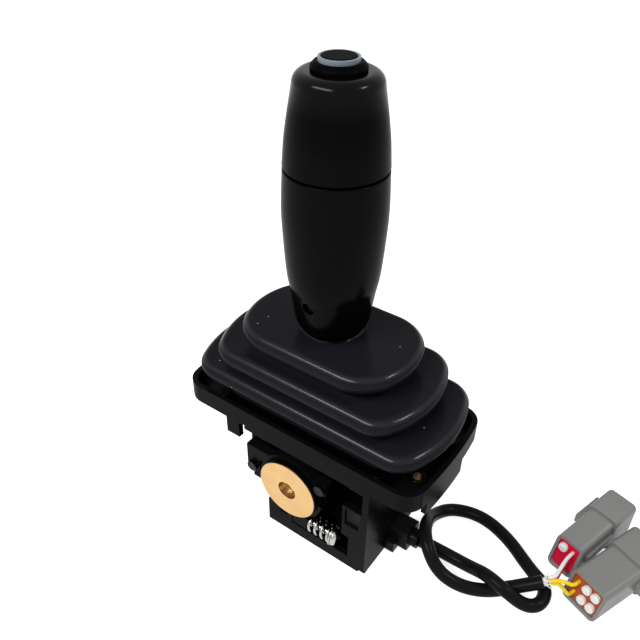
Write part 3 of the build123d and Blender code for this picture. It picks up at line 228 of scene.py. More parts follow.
class StageSettings(bpy.types.PropertyGroup):
    """The camera, floor and lamps."""

    lens: FloatProperty(name="Lens", description="Focal length on a 36 mm sensor, in mm", default=39.9)
    azimuth: FloatProperty(name="Azimuth", description="The camera's heading", subtype="ANGLE",
                           default=math.radians(35.52))
    pitch: FloatProperty(name="Pitch", description="How far it looks down", subtype="ANGLE",
                         default=math.radians(36.29))
    roll: FloatProperty(name="Roll", description="Turn about its own axis", subtype="ANGLE",
                        default=math.radians(0.77))
    place: FloatVectorProperty(name="Place", description="Where the camera stands", subtype="TRANSLATION",
                               default=(0.1432, -0.2101, 0.2422))
    floor_colour: FloatVectorProperty(name="Floor", description="Pale floor", subtype="COLOR",
                                      default=(0.8, 0.8, 0.8))


# ---- surfaces ----------------------------------------------------------------------------------
def settings(name):
    """One of the scene's property groups."""
    return getattr(bpy.context.scene, "joystick_" + name)


def add_mesh(name, points, faces, smooth=True):
    """A mesh object from an array of points and an array of faces."""
    mesh = bpy.data.meshes.new(name)
    mesh.from_pydata(points.tolist(), [], faces.tolist())
    mesh.validate()
    mesh.polygons.foreach_set("use_smooth", np.full(len(mesh.polygons), smooth))
    piece = bpy.data.objects.new(name, mesh)
    bpy.context.scene.collection.objects.link(piece)
    return piece


def outward(piece):
    """Merges doubled points and turns every face outwards."""
    work = bmesh.new()
    work.from_mesh(piece.data)
    bmesh.ops.remove_doubles(work, verts=work.verts, dist=1e-7)
    bmesh.ops.recalc_face_normals(work, faces=work.faces)
    work.to_mesh(piece.data)
    work.free()
    return piece


def skin(name, rings, loop=False, caps=True):
    """Rings of equal count joined in order. Loop joins the last ring to the first; caps close both ends.

    The face at row i and column j joins points (i, j), (i, j + 1), (i + 1, j + 1) and (i + 1, j), where
    columns run round and rows run along.
    """
    rows, columns = rings.shape[:2]
    points = rings.reshape(-1, 3)
    i, j = np.meshgrid(np.arange(rows if loop else rows - 1), np.arange(columns), indexing="ij")
    below = (i + 1) % rows
    right = (j + 1) % columns
    quads = np.stack([i * columns + j, i * columns + right, below * columns + right, below * columns + j], -1)
    faces = quads.reshape(-1, 4)
    piece = add_mesh(name, points, faces)
    if caps and not loop:
        work = bmesh.new()
        work.from_mesh(piece.data)
        bmesh.ops.holes_fill(work, edges=[e for e in work.edges if e.is_boundary])
        work.to_mesh(piece.data)
        work.free()
    return outward(piece)


def turned(name, profile, around=128, loop=False):
    """A surface of revolution: radius and height along the profile, cosine and sine round the axis."""
    turn = np.linspace(0, 2 * np.pi, around, endpoint=False)
    radius = profile[:, 0, None]
    height = np.broadcast_to(profile[:, 1, None], (len(profile), around))
    rings = np.stack([radius * np.cos(turn), radius * np.sin(turn), height], -1)
    return skin(name, rings, loop)


def smooth_curve(points, steps):
    """A Catmull-Rom curve through the points: each stretch is the cubic whose end slopes are half the
    chord between the neighbours of that end."""
    before = 2 * points[0] - points[1]
    after = 2 * points[-1] - points[-2]
    p = np.vstack([before, points, after])
    t = np.linspace(0, 1, steps, endpoint=False)[None, :, None]
    a, b, c, d = (p[k:len(p) - 3 + k, None] for k in range(4))
    bend = (2 * a - 5 * b + 4 * c - d) * t ** 2
    twist = (3 * b - a - 3 * c + d) * t ** 3
    curve = 0.5 * (2 * b + (c - a) * t + bend + twist)
    return np.vstack([curve.reshape(-1, points.shape[1]), points[-1]])


def arc(centre, radius, start, end, count):
    """Points of a circle from one angle to another, in degrees."""
    angle = np.radians(np.linspace(start, end, count))
    return np.stack([centre[0] + radius * np.cos(angle), centre[1] + radius * np.sin(angle)], -1)


def bowed_outline(half_length, half_width, corner, bow, count):
    """Points and outward normals of an oblong with straight long sides and bowed ends.

    A quarter is: an end arc about a centre on the long axis, a corner arc of the given radius that is
    tangent to it, and a straight run at the half width. The other quarters are its reflections.
    """
    quarter = count // 4
    radius = (half_width ** 2 + bow ** 2) / (2 * bow)
    centre_x = half_length - radius
    reach = math.asin((half_width - corner) / (radius - corner))
    corner_x = centre_x + (radius - corner) * math.cos(reach)
    parts = np.array([0.3, 0.4, 0.3])
    ends = np.cumsum(parts)
    s = (np.arange(quarter) + 0.5) / quarter
    first = np.clip(s / ends[0], 0, 1) * reach
    second = np.clip((s - ends[0]) / parts[1], 0, 1) * (np.pi / 2 - reach)
    angle = first + second
    third = np.clip((s - ends[1]) / parts[2], 0, 1)
    on_end = s < ends[0]
    end_x = centre_x + radius * np.cos(first)
    end_y = radius * np.sin(first)
    x = np.where(on_end, end_x, corner_x + corner * np.cos(angle)) - third * corner_x
    y = np.where(on_end, end_y, half_width - corner + corner * np.sin(angle))
    point = np.stack([x, y], -1)
    normal = np.stack([np.cos(angle), np.sin(angle)], -1)
    turns = [(1, 1, 1), (-1, 1, -1), (-1, -1, 1), (1, -1, -1)]
    points = np.vstack([(point * (sx, sy))[::order] for sx, sy, order in turns])
    normals = np.vstack([(normal * (sx, sy))[::order] for sx, sy, order in turns])
    return points, normals


def ring_at(outline, offset, height):
    """An outline moved along its normals and lifted to a height."""
    points, normals = outline
    moved = points + normals * offset
    return np.column_stack([moved, np.broadcast_to(height, len(moved))])


def helix_points(radius, length, turns, closed, wire):
    """A helix along Z whose end turns close up.

    The angle runs evenly. The height rises by a wire's thickness over each closed end, and by the rest
    between them, joined by a smooth step.
    """
    per_turn = 40
    s = np.linspace(0, turns, int(turns * per_turn) + 1)
    middle = np.clip((s - closed) / (turns - 2 * closed), 0, 1)
    rise = length - 4 * wire * closed
    closing = 2 * wire * np.clip(s, 0, closed) + 2 * wire * np.clip(s - turns + closed, 0, closed)
    height = closing + rise * middle
    angle = 2 * np.pi * s
    return np.column_stack([radius * np.cos(angle), radius * np.sin(angle), height])


def tube(name, path, radius, around):
    """A round tube along a path, of one radius or one per point: a circle across the path at each point.

    The circle's first axis is the direction across both the path and a fixed vector that it never meets.
    """
    along = np.gradient(path, axis=0)
    along /= np.linalg.norm(along, axis=1, keepdims=True)
    spread = np.abs(along).max(0)
    fixed = np.eye(3)[np.argmin(spread)]
    side = np.cross(along, fixed)
    side /= np.linalg.norm(side, axis=1, keepdims=True)
    other = np.cross(along, side)
    turn = np.linspace(0, 2 * np.pi, around, endpoint=False)
    circle = np.cos(turn)[None, :, None] * side[:, None] + np.sin(turn)[None, :, None] * other[:, None]
    return skin(name, path[:, None] + np.reshape(radius, (-1, 1, 1)) * circle)


def softened(node, width):
    """A copy of a CAD node with its doubles merged, its flat faces joined and its sharp edges rounded."""
    sharp = math.radians(35)
    source = NODES[node]
    mesh = source.data.copy()
    piece = bpy.data.objects.new(node + "_finished", mesh)
    bpy.context.scene.collection.objects.link(piece)
    work = bmesh.new()
    work.from_mesh(mesh)
    bmesh.ops.remove_doubles(work, verts=work.verts, dist=1e-6)
    bmesh.ops.dissolve_limit(work, angle_limit=math.radians(0.5), verts=work.verts, edges=work.edges)
    work.to_mesh(mesh)
    work.free()
    mesh.polygons.foreach_set("use_smooth", np.ones(len(mesh.polygons), bool))
    mesh.set_sharp_from_angle(angle=sharp)
    bevel = piece.modifiers.new("rounded", "BEVEL")
    bevel.width = width
    bevel.segments = 2
    bevel.limit_method = "ANGLE"
    bevel.angle_limit = sharp
    bevel.harden_normals = True
    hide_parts(node)
    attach(piece, source["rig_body"])
    return piece


# ---- shader nodes and groups -------------------------------------------------------------------
def feed(tree, socket, value):
    """Links a socket to another one, or sets it to a number or a colour."""
    if isinstance(value, bpy.types.NodeSocket):
        tree.links.new(value, socket)
    else:
        socket.default_value = value


def math_node(tree, operation, first, second):
    """The output of a Math node on two sockets or numbers."""
    node = tree.nodes.new("ShaderNodeMath")
    node.operation = operation
    feed(tree, node.inputs[0], first)
    feed(tree, node.inputs[1], second)
    return node.outputs["Value"]


def mixed(tree, factor, first, second):
    """The output of a Mix node between two colours, each a socket or a colour with its alpha."""
    node = tree.nodes.new("ShaderNodeMix")
    node.data_type = "RGBA"
    feed(tree, node.inputs["Factor"], factor)
    feed(tree, node.inputs["A"], first)
    feed(tree, node.inputs["B"], second)
    return node.outputs["Result"]


def ranged(tree, value, start, end, low, high, ease="LINEAR"):
    """The output of a Map Range node, which goes from low to high as the value goes from start to end."""
    node = tree.nodes.new("ShaderNodeMapRange")
    node.interpolation_type = ease
    for label, number in (("From Min", start), ("From Max", end), ("To Min", low), ("To Max", high)):
        node.inputs[label].default_value = number
    tree.links.new(value, node.inputs["Value"])
    return node.outputs["Result"]


def object_place(tree):
    """A point's Object coordinates."""
    return tree.nodes.new("ShaderNodeTexCoord").outputs["Object"]


def noise(tree, place, scale, detail=2):
    """The output of a noise at a place, with its scale a socket or a number."""
    node = tree.nodes.new("ShaderNodeTexNoise")
    node.inputs["Detail"].default_value = detail
    tree.links.new(place, node.inputs["Vector"])
    feed(tree, node.inputs["Scale"], scale)
    return node.outputs["Fac"]


def new_group(name, inputs, outputs):
    """An empty shader group with named float inputs and outputs, and its two end nodes."""
    group = bpy.data.node_groups.new(name, "ShaderNodeTree")
    for label, value in inputs.items():
        socket = group.interface.new_socket(name=label, in_out="INPUT", socket_type="NodeSocketFloat")
        socket.default_value = value
    for label in outputs:
        group.interface.new_socket(name=label, in_out="OUTPUT", socket_type="NodeSocketFloat")
    return group, group.nodes.new("NodeGroupInput"), group.nodes.new("NodeGroupOutput")


def grain_group():
    """Fine moulded grain on Object coordinates: a height, and a slow mask for duller patches."""
    if "moulded_grain" in bpy.data.node_groups:
        return bpy.data.node_groups["moulded_grain"]
    inputs = {"Grain scale": 2500, "Patch scale": 40}
    group, given, made = new_group("moulded_grain", inputs, ["Height", "Patch"])
    place = object_place(group)
    group.links.new(noise(group, place, given.outputs["Grain scale"], 3), made.inputs["Height"])
    group.links.new(noise(group, place, given.outputs["Patch scale"], 4), made.inputs["Patch"])
    return group


def speck_group():
    """Sparse specks of dust: small discs about the points of a Voronoi pattern, kept at a share of them.

    A point's own random colour says whether its disc is kept.
    """
    if "dust_specks" in bpy.data.node_groups:
        return bpy.data.node_groups["dust_specks"]
    group, given, made = new_group("dust_specks", {"Scale": 160, "Size": 0.05, "Share": 0.62}, ["Mask"])
    cells = group.nodes.new("ShaderNodeTexVoronoi")
    group.links.new(object_place(group), cells.inputs["Vector"])
    group.links.new(given.outputs["Scale"], cells.inputs["Scale"])
    near = math_node(group, "LESS_THAN", cells.outputs["Distance"], given.outputs["Size"])
    pick = group.nodes.new("ShaderNodeSeparateColor")
    group.links.new(cells.outputs["Color"], pick.inputs["Color"])
    chosen = math_node(group, "GREATER_THAN", pick.outputs["Red"], given.outputs["Share"])
    group.links.new(math_node(group, "MULTIPLY", near, chosen), made.inputs["Mask"])
    return group


def place_group(tree, group, values):
    """A group node in a material, with its own values."""
    node = tree.nodes.new("ShaderNodeGroup")
    node.node_tree = group
    for label, value in values.items():
        node.inputs[label].default_value = value
    return node


# ---- materials ---------------------------------------------------------------------------------
def base_material(name, colour, roughness, metallic=0.0, specular=0.5, coat=0.0, coat_roughness=0.2,
                  coat_index=1.18):
    """A material with one Principled shader.

    A moulded black gets its shine from a coat of low index alone: faint seen square on, clear at the edges.
    """
    material = bpy.data.materials.new(name)
    material.use_nodes = True
    values = {
        "Base Color": (*colour, 1), "Roughness": roughness, "Metallic": metallic,
        "Specular IOR Level": specular, "Coat Weight": coat, "Coat Roughness": coat_roughness,
        "Coat IOR": coat_index,
    }
    for label, value in values.items():
        material.node_tree.nodes["Principled BSDF"].inputs[label].default_value = value
    return material


def tree_and_shader(material):
    """A material's nodes, and its shader among them."""
    tree = material.node_tree
    return tree, tree.nodes["Principled BSDF"]


def bump(tree, height, depth):
    """The normal of a surface with a height on it, as deep as given in metres."""
    node = tree.nodes.new("ShaderNodeBump")
    node.inputs["Strength"].default_value = 1.0
    node.inputs["Distance"].default_value = depth
    tree.links.new(height, node.inputs["Height"])
    return node.outputs["Normal"]


def add_grain(material, scale, depth, roughness, spread, patch=40):
    """Bump from the fine grain, and roughness that drifts by the slow patches."""
    tree, shader = tree_and_shader(material)
    grain = place_group(tree, grain_group(), {"Grain scale": scale, "Patch scale": patch})
    tree.links.new(bump(tree, grain.outputs["Height"], depth), shader.inputs["Normal"])
    drift = ranged(tree, grain.outputs["Patch"], 0.3, 0.7, roughness - spread, roughness + spread)
    tree.links.new(drift, shader.inputs["Roughness"])


def add_dust(material, colour, dust, size, share, scale):
    """Pale specks over the base colour."""
    tree, shader = tree_and_shader(material)
    specks = place_group(tree, speck_group(), {"Size": size, "Share": share, "Scale": scale})
    dusty = mixed(tree, specks.outputs["Mask"], (*colour, 1), (*dust, 1))
    tree.links.new(dusty, shader.inputs["Base Color"])


def polish_by(material, value, low, high, dull, bright):
    """Coat weight from dull to bright as a value goes from low to high, easing at both ends."""
    tree, shader = tree_and_shader(material)
    tree.links.new(ranged(tree, value, low, high, dull, bright, "SMOOTHSTEP"), shader.inputs["Coat Weight"])


def plastic(name, colour, roughness, specular=0.5, scale=2500):
    """A coloured moulding with a fine grain."""
    material = base_material(name, colour, roughness, specular=specular)
    add_grain(material, scale, 0.00001, roughness, 0.06)
    return material


def black_moulding(name, colour, coat, coat_roughness, scale=1800, depth=0.00001, roughness=0.6, spread=0.05,
                   coat_index=1.18, patch=40):
    """Black moulded plastic or rubber: a dark body under a faint coat."""
    material = base_material(name, colour, roughness, specular=0.0, coat=coat, coat_roughness=coat_roughness,
                             coat_index=coat_index)
    add_grain(material, scale, depth, roughness, spread, patch)
    return material


def metal(name, colour, roughness):
    """A bare or blackened metal with a faint grain."""
    material = base_material(name, colour, roughness, metallic=1.0)
    add_grain(material, 900, 0.000004, roughness, 0.05, 120)
    return material


def grip_black():
    """Moulded black, polished by handling towards the shoulder at the top."""
    material = black_moulding("grip_black", tuple(settings("grip").colour), 0.4, 0.17, 1400, 0.000002)
    tree = material.node_tree
    height = tree.nodes.new("ShaderNodeSeparateXYZ")
    tree.links.new(object_place(tree), height.inputs["Vector"])
    polish_by(material, height.outputs["Z"], 0.150, 0.162, 0.4, 1.0)
    return material


def gaiter_rubber():
    """Black rubber with specks of dust, rubbed shiny along the rims of its steps."""
    colour = tuple(settings("gaiter").colour)
    material = black_moulding("gaiter_rubber", colour, 0.5, 0.2, 2200, 0.000012, roughness=0.7, spread=0.06,
                              coat_index=1.25, patch=60)
    add_dust(material, colour, (0.4, 0.39, 0.37), 0.045, 0.72, 150)
    rubbed = material.node_tree.nodes.new("ShaderNodeAttribute")
    rubbed.attribute_name = "rubbed"
    polish_by(material, rubbed.outputs["Fac"], 0.2, 0.9, 0.26, 1.0)
    return material


def turned_brass():
    """Brass with fine rings left by turning about the pivot's axis, and its side and outer rim painted dark
    as shade.
    """
    material = base_material("turned_brass", (0.7, 0.45, 0.2), 0.34, metallic=1.0)
    tree, shader = tree_and_shader(material)
    place = object_place(tree)
    centred = tree.nodes.new("ShaderNodeMapping")
    centred.inputs["Location"].default_value = (0, 0, -PIVOT_HEIGHT)
    tree.links.new(place, centred.inputs["Vector"])
    rings = tree.nodes.new("ShaderNodeTexWave")
    rings.wave_type = "RINGS"
    rings.rings_direction = "Y"
    rings.inputs["Scale"].default_value = 700
    rings.inputs["Distortion"].default_value = 0.6
    tree.links.new(centred.outputs["Vector"], rings.inputs["Vector"])
    tree.links.new(bump(tree, rings.outputs["Fac"], 0.0000015), shader.inputs["Normal"])
    stained = mixed(tree, noise(tree, place, 90), (0.54, 0.33, 0.125, 1), (0.66, 0.44, 0.20, 1))
    across = tree.nodes.new("ShaderNodeVectorMath")
    across.operation = "MULTIPLY"
    across.inputs[1].default_value = (1, 0, 1)
    tree.links.new(centred.outputs["Vector"], across.inputs[0])
    radius = tree.nodes.new("ShaderNodeVectorMath")
    radius.operation = "LENGTH"
    tree.links.new(across.outputs["Vector"], radius.inputs[0])
    # painted shade: beyond this radius the bush's side and outer rim get a near-black colour in place of the
    # brass
    rim = math_node(tree, "GREATER_THAN", radius.outputs["Value"], PAINTED_SHADE_RIM_RADIUS)
    tree.links.new(mixed(tree, rim, stained, (0.025, 0.02, 0.014, 1)), shader.inputs["Base Color"])
    return material


def all_finishes():
    """The finish of each of the record's material slots, and one of its own for brass darkened as painted
    shade.
    """
    return {
        "black_plastic": black_moulding("housing_plastic", (0.0034, 0.0036, 0.0047), 0.36, 0.26),
        "grip_black": grip_black(),
        "gaiter_rubber": gaiter_rubber(),
        "steel": metal("machined_steel", (0.55, 0.55, 0.55), 0.35),
        "bright_steel": metal("bright_steel", (0.40, 0.39, 0.375), 0.16),
        "brass": turned_brass(),
        # painted shade: brass darkened almost to black for the shade of the tray's channel round the inserts
        "brass_painted_shade": metal("brass_painted_shade", (0.055, 0.032, 0.01), 0.35),
        "black_metal": metal("blackened_metal", (0.008, 0.008, 0.009), 0.4),
        # painted shade: the board's green is darkened nearly to black for the shade inside the housing
        "board_green": plastic("board_green", (0.002, 0.006, 0.003), 0.4, 0.1),
        "magnet_metal": metal("magnet_metal", (0.6, 0.6, 0.62), 0.25),
        "button_ring_grey": plastic("button_ring_grey", (0.17, 0.205, 0.24), 0.4, 0.3),
        "button_black": black_moulding("button_black", (0.0015, 0.0015, 0.002), 0.15, 0.25, 1400, 0.000002),
        "cable_black": black_moulding("cable_rubber", tuple(settings("cable").colour), 0.5, 0.26, 1500),
        "sheath_white": plastic("sheath_white", (0.84, 0.81, 0.79), 0.5, 0.3),
        "wire_white": plastic("wire_white", (0.86, 0.82, 0.81), 0.4, 0.3),
        "wire_red": plastic("wire_red", (0.6, 0.012, 0.02), 0.35),
        "wire_yellow": plastic("wire_yellow", (0.9, 0.66, 0.01), 0.4, 0.3),
        "connector_grey": plastic("connector_grey", (0.20, 0.205, 0.195), 0.42, 0.35, 1600),
        "seal_crimson": plastic("seal_crimson", (0.62, 0.001, 0.035), 0.5, 0.25),
        "seal_orange": plastic("seal_orange", (0.40, 0.065, 0.015), 0.5, 0.3),
        "wedge_green": plastic("wedge_grey", (0.2, 0.22, 0.2), 0.45),
        "plug_white": plastic("plug_white", (0.86, 0.86, 0.84), 0.4, 0.3),
    }


def dress(piece, material):
    """Gives a piece one material, and hands it back."""
    piece.data.materials.clear()
    piece.data.materials.append(material)
    return piece


# filled by the first operator, for the ones after it
FINISHES = {}
# the nodes whose finish isn't that of their slot: the inserts get brass darkened as painted shade
OWN_FINISH = {"threaded_inserts": "brass_painted_shade"}
# how wide the edges of each hard node are rounded
SOFTENED = {
    "flange_tray": 0.0009, "body_housing": 0.0005,
    "front_bearing_plate": 0.0004, "rear_bearing_plate": 0.0004,
    "base_cover": 0.0003, "brake_block": 0.0003, "cable_gland": 0.0006,
    "small_connector_body": 0.0006, "large_connector_body": 0.0006,
    "small_connector_seal": 0.0003, "large_connector_seal": 0.0003,
    "small_connector_plugs": 0.0004, "large_connector_plugs": 0.0004,
    "button_bezel": 0.0003, "button_ring": 0.0002, "front_pivot_bush": 0.0002, "rear_pivot_bush": 0.0002,
    "brake_washer": 0.00015, "plate_screws": 0.0003, "clamp_screws": 0.0003,
    "threaded_inserts": 0.0002,
}


# ---- operators ---------------------------------------------------------------------------------
class JOYSTICK_OT_finishes(bpy.types.Operator):
    """Gives every CAD node its finish, and rounds the edges of the hard ones"""

    bl_idname = "joystick.finishes"
    bl_label = "Finishes"

    def execute(self, context):
        FINISHES.update(all_finishes())
        slots = {row["node"]: row["material_slot"] for row in frame["record"]["subparts"]}
        for node, piece in NODES.items():
            dress(piece, FINISHES[slots[node]])
        for node, width in SOFTENED.items():
            piece = softened(node, width)
            dress(piece, FINISHES[OWN_FINISH.get(node, slots[node])])
        return {"FINISHED"}


def recess_index(size, mouth):
    """Where a square patch of grid points goes so that one of its rings becomes the mouth of a round recess.

    Ring k of the patch holds the points whose larger offset is k. Rings up to the mouth lie on circles, and
    the rings outside it go over to squares at the patch's edge, in step with their number.
    """
    a, b = np.meshgrid(np.arange(-size, size + 1), np.arange(-size, size + 1), indexing="ij")
    ring = np.maximum(np.abs(a), np.abs(b))
    wall = math.ceil(mouth)
    inside = np.minimum(ring, wall - 1) / (wall - 1) * (mouth - 0.1)
    outside = mouth + np.clip(ring - wall, 0, None) * (size - mouth) / (size - wall)
    radius = np.where(ring < wall, inside, outside)
    length = np.maximum(np.hypot(a, b), 1e-9)
    share = np.clip((ring - wall) / (size - wall), 0, 1)
    scale = radius * ((1 - share) / length + share / np.maximum(ring, 1))
    return a * scale, b * scale, ring < wall


class JOYSTICK_OT_grip(bpy.types.Operator):
    """Turns the two shells of the grip, with the round recess of its screw in the lower one"""

    bl_idname = "joystick.grip"
    bl_label = "Grip"

    def execute(self, context):
        grip = settings("grip")
        seam = grip.seam_height
        body = self.barrel(grip)
        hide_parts("grip_lower_shell")
        inside = GRIP_UPPER_PROFILE[0, 0] - grip.seam_groove
        start = np.array([(GRIP_BORE, seam), (inside, seam), (inside, GRIP_UPPER_PROFILE[0, 1])])
        upper = smooth_curve(GRIP_UPPER_PROFILE, 10)
        fillet = grip.shoulder
        shoulder = arc((upper[-1, 0] - fillet, grip.height - fillet), fillet, 6, 90, 14)
        hole = np.array([(GRIP_BORE, grip.height), (GRIP_BORE, seam + GRIP_SPIGOT)])
        cap = turned("grip_cap", np.vstack([start, upper[:-1], shoulder, hole]) + (0, grip.foot), loop=True)
        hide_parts("grip_upper_shell")
        for piece in (body, cap):
            piece.data.set_sharp_from_angle(angle=math.radians(50))
            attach(dress(piece, FINISHES["grip_black"]), "lever")
        return {"FINISHED"}

    def barrel(self, grip):
        """The lower shell as rows along its profile and columns round it, spaced alike near the recess."""
        around = 256
        step = 2 * np.pi / around
        lower = smooth_curve(GRIP_LOWER_PROFILE, 10)
        radius_at = lambda height: np.interp(height, lower[:, 1], lower[:, 0])
        centre = grip.recess_height
        pitch = radius_at(centre) * step
        size = 12
        patch = centre + np.arange(-size, size + 1) * pitch
        below = np.linspace(lower[0, 1], patch[0], 12)[:-1]
        above = np.linspace(patch[-1], lower[-1, 1], 70)[1:]
        heights = np.concatenate([below, patch, above])
        outer = np.column_stack([radius_at(heights), heights])
        foot = arc((lower[0, 0] - GRIP_FOOT_FILLET, GRIP_FOOT_FILLET), GRIP_FOOT_FILLET, -90, 0, 8)[:-1]
        seam = grip.seam_height
        edge = arc((lower[-1, 0] - GRIP_SEAM_EDGE, lower[-1, 1]), GRIP_SEAM_EDGE, 0, 80, 6)[1:]
        inside = lower[-1, 0] - grip.seam_groove
        groove = np.vstack([edge, [(inside, edge[-1, 1]), (inside, seam)]])
        inner = np.array([(GRIP_BORE, seam), (GRIP_BORE, GRIP_SEAM_EDGE)])
        profile = np.vstack([foot, outer, groove, inner])
        turn = np.arange(around) * step - np.pi / 2
        rings = np.stack([profile[:, 0, None] * np.cos(turn), profile[:, 0, None] * np.sin(turn),
                          np.broadcast_to(profile[:, 1, None], (len(profile), around))], -1)
        up, across, sunk = recess_index(size, grip.recess_radius / pitch)
        height = centre + up * pitch
        radius = radius_at(height)
        angle = across * step - np.pi / 2
        x = radius * np.cos(angle)
        y = np.where(sunk, -grip.recess_seat, radius * np.sin(angle))
        row = len(foot) + len(below)
        columns = np.arange(-size, size + 1) % around
        rings[row:row + 2 * size + 1, columns] = np.stack([x, y, height], -1)
        rings[..., 2] += grip.foot
        return skin("grip_barrel", rings, loop=True)


class JOYSTICK_OT_gaiter(bpy.types.Operator):
    """Moulds the stepped gaiter between the tray and the lever"""

    bl_idname = "joystick.gaiter"
    bl_label = "Gaiter"

    def execute(self, context):
        rubber = settings("gaiter")
        rings = gaiter_rings(rubber)
        piece = skin("gaiter_bellows", rings, caps=False)
        normals = np.empty(3 * len(piece.data.vertices))
        piece.data.vertices.foreach_get("normal", normals)
        # a bell about the slope at the top of each rim, which is where hands rub it
        rubbed = np.exp(-((normals[2::3] - 0.75) / 0.2) ** 2)
        piece.data.attributes.new("rubbed", "FLOAT", "POINT").data.foreach_set("value", rubbed)
        solid = piece.modifiers.new("wall", "SOLIDIFY")
        solid.thickness = rubber.wall
        solid.offset = -1
        dress(piece, FINISHES["gaiter_rubber"])
        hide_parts("gaiter")
        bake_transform(piece)
        return {"FINISHED"}


def fold_profile(edge, inset):
    """Offsets and heights across one step's rim, from the neck below it to its top.

    A half circle of the edge's radius, whose foot stands out as a thin lip below a bell-shaped dip.
    """
    angle = np.radians(np.linspace(-90, 90, 37))
    offset = -edge + edge * np.cos(angle)
    height = edge * np.sin(angle)
    lip_height = -0.62 * edge
    offset += 0.12 * edge * np.clip((lip_height - height) / (0.38 * edge), 0, 1)
    offset -= 0.1 * edge * np.exp(-((height - lip_height) / (0.09 * edge)) ** 2)
    under = np.array([(-inset, -edge + 0.0006), (-inset + 0.001, -edge), (-edge - 0.0012, -edge)])
    return np.vstack([under, np.column_stack([offset, height])])


def gaiter_rings(rubber):
    """Rings from the foot of the gaiter to its collar: each step's rim, then a dished flat to the next neck.

    A flat runs evenly from the rim to the neck. It sinks by a half wave, and rises by a high power of the way
    to the neck.
    """
    count = rubber.around
    outlines = [bowed_outline(*step[:4], count) for step in GAITER_STEPS]
    foot_outline = bowed_outline(*GAITER_FOOT, count)
    rings = [ring_at(foot_outline, 0, z) for z in np.linspace(*GAITER_FOOT_HEIGHTS, 6)]
    fold = fold_profile(rubber.edge, rubber.inset)
    for k in (2, 1, 0):
        height = GAITER_STEPS[k, 4]
        rings += [ring_at(outlines[k], offset, height + rise) for offset, rise in fold]
        top = height + rubber.edge
        rim = ring_at(outlines[k], -rubber.edge, top)
        if k:
            neck = ring_at(outlines[k - 1], -rubber.inset, top)
            for t in np.linspace(0, 1, 10)[1:]:
                ring = rim + (neck - rim) * t
                ring[:, 2] += -FLAT_DISH * np.sin(np.pi * t) + FLAT_RISE * t ** 8
                rings.append(ring)
            rings.append(neck + (0, 0, NECK_RISE))
    turn = np.arctan2(outlines[0][0][:, 1], outlines[0][0][:, 0])
    circle = np.column_stack([np.cos(turn), np.sin(turn), np.zeros(count)])
    collar = COLLAR_FOOT[0] * circle + (0, 0, top - COLLAR_FOOT[1])
    rings += [rim + (collar - rim) * t for t in np.linspace(0, 1, 12)[1:]]
    for radius, rise in (*COLLAR_PROFILE, (rubber.collar, COLLAR_LIP)):
        rings.append(radius * circle + (0, 0, top + rise))
    return np.stack(rings)


def button_head_rings(low, high, shank, head, head_height, socket):
    """Rings along X of a screw with a domed head and a six-sided socket, about its own axis.

    The dome is a quarter ellipse from the seat's rim to the socket's mouth. The socket's radius at an angle
    is the half width across its flats over the cosine of the angle from the nearest flat.
    """
    around = 96
    chamfer = 0.0003
    seat = high - head_height
    rim = seat + 0.0004
    turn = np.arange(around) * 2 * np.pi / around
    flats = socket / np.cos((turn + np.pi / 6) % (np.pi / 3) - np.pi / 6)
    mouth = 1.25 * socket
    bend = np.linspace(0, np.pi / 2, 14)
    dome = np.column_stack([rim + (high - rim) * np.sin(bend), mouth + (head - mouth) * np.cos(bend)])
    shaft = [(low, shank - chamfer), (low + chamfer, shank), (seat, shank), (seat, head - 0.0002)]
    profile = np.vstack([shaft, dome])
    circles = np.stack([np.broadcast_to(profile[:, :1], (len(profile), around)),
                        profile[:, 1:] * np.cos(turn), profile[:, 1:] * np.sin(turn)], -1)
    hexes = [np.stack([np.full(around, x), flats * np.cos(turn), flats * np.sin(turn)], -1)
             for x in (high - 0.0001, high - BRAKE_SOCKET_DEPTH)]
    return np.concatenate([circles, np.stack(hexes)])


class JOYSTICK_OT_springs(bpy.types.Operator):
    """Winds the brake's spring and the button's spring, and turns the brake's screw"""

    bl_idname = "joystick.springs"
    bl_label = "Springs"

    def execute(self, context):
        springs = settings("springs")
        self.brake(springs)
        self.button()
        return {"FINISHED"}

    def brake(self, springs):
        """The brake's spring, and the screw that squeezes it, each as long as its CAD node."""
        low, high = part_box("brake_spring")
        centre = (low + high) / 2
        wire = springs.wire
        radius = (high.z - low.z) / 2 - wire - BRAKE_COIL_INSET
        path = helix_points(radius, high.x - low.x - 2 * wire, springs.turns, 0.4, wire)
        path = path[:, [2, 0, 1]] + (low.x + wire, centre.y, centre.z)
        self.keep(tube("brake_coil", path, wire, 14), "brake_spring")
        low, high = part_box("brake_screw")
        centre = (low + high) / 2
        rings = button_head_rings(low.x, high.x, springs.shank, (high.z - low.z) / 2, springs.head_height,
                                  springs.socket)
        self.keep(skin("brake_button_head", rings + (0, centre.y, centre.z)), "brake_screw")

    def keep(self, piece, node):
        """Stands a bright piece of the brake in for its CAD node."""
        piece.data.set_sharp_from_angle(angle=math.radians(40))
        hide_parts(node)
        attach(dress(piece, FINISHES["bright_steel"]), "base")

    def button(self):
        """The button's spring, wound to the length of its CAD node."""
        low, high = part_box("button_spring")
        radius = (high.x - low.x) / 2 - BUTTON_WIRE
        path = helix_points(radius, high.z - low.z - 2 * BUTTON_WIRE, BUTTON_TURNS, 0.8, BUTTON_WIRE)
        coil = tube("button_coil", path + (0, 0, low.z + BUTTON_WIRE), BUTTON_WIRE, 10)
        dress(coil, FINISHES["steel"])
        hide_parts("button_spring")
        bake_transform(coil)


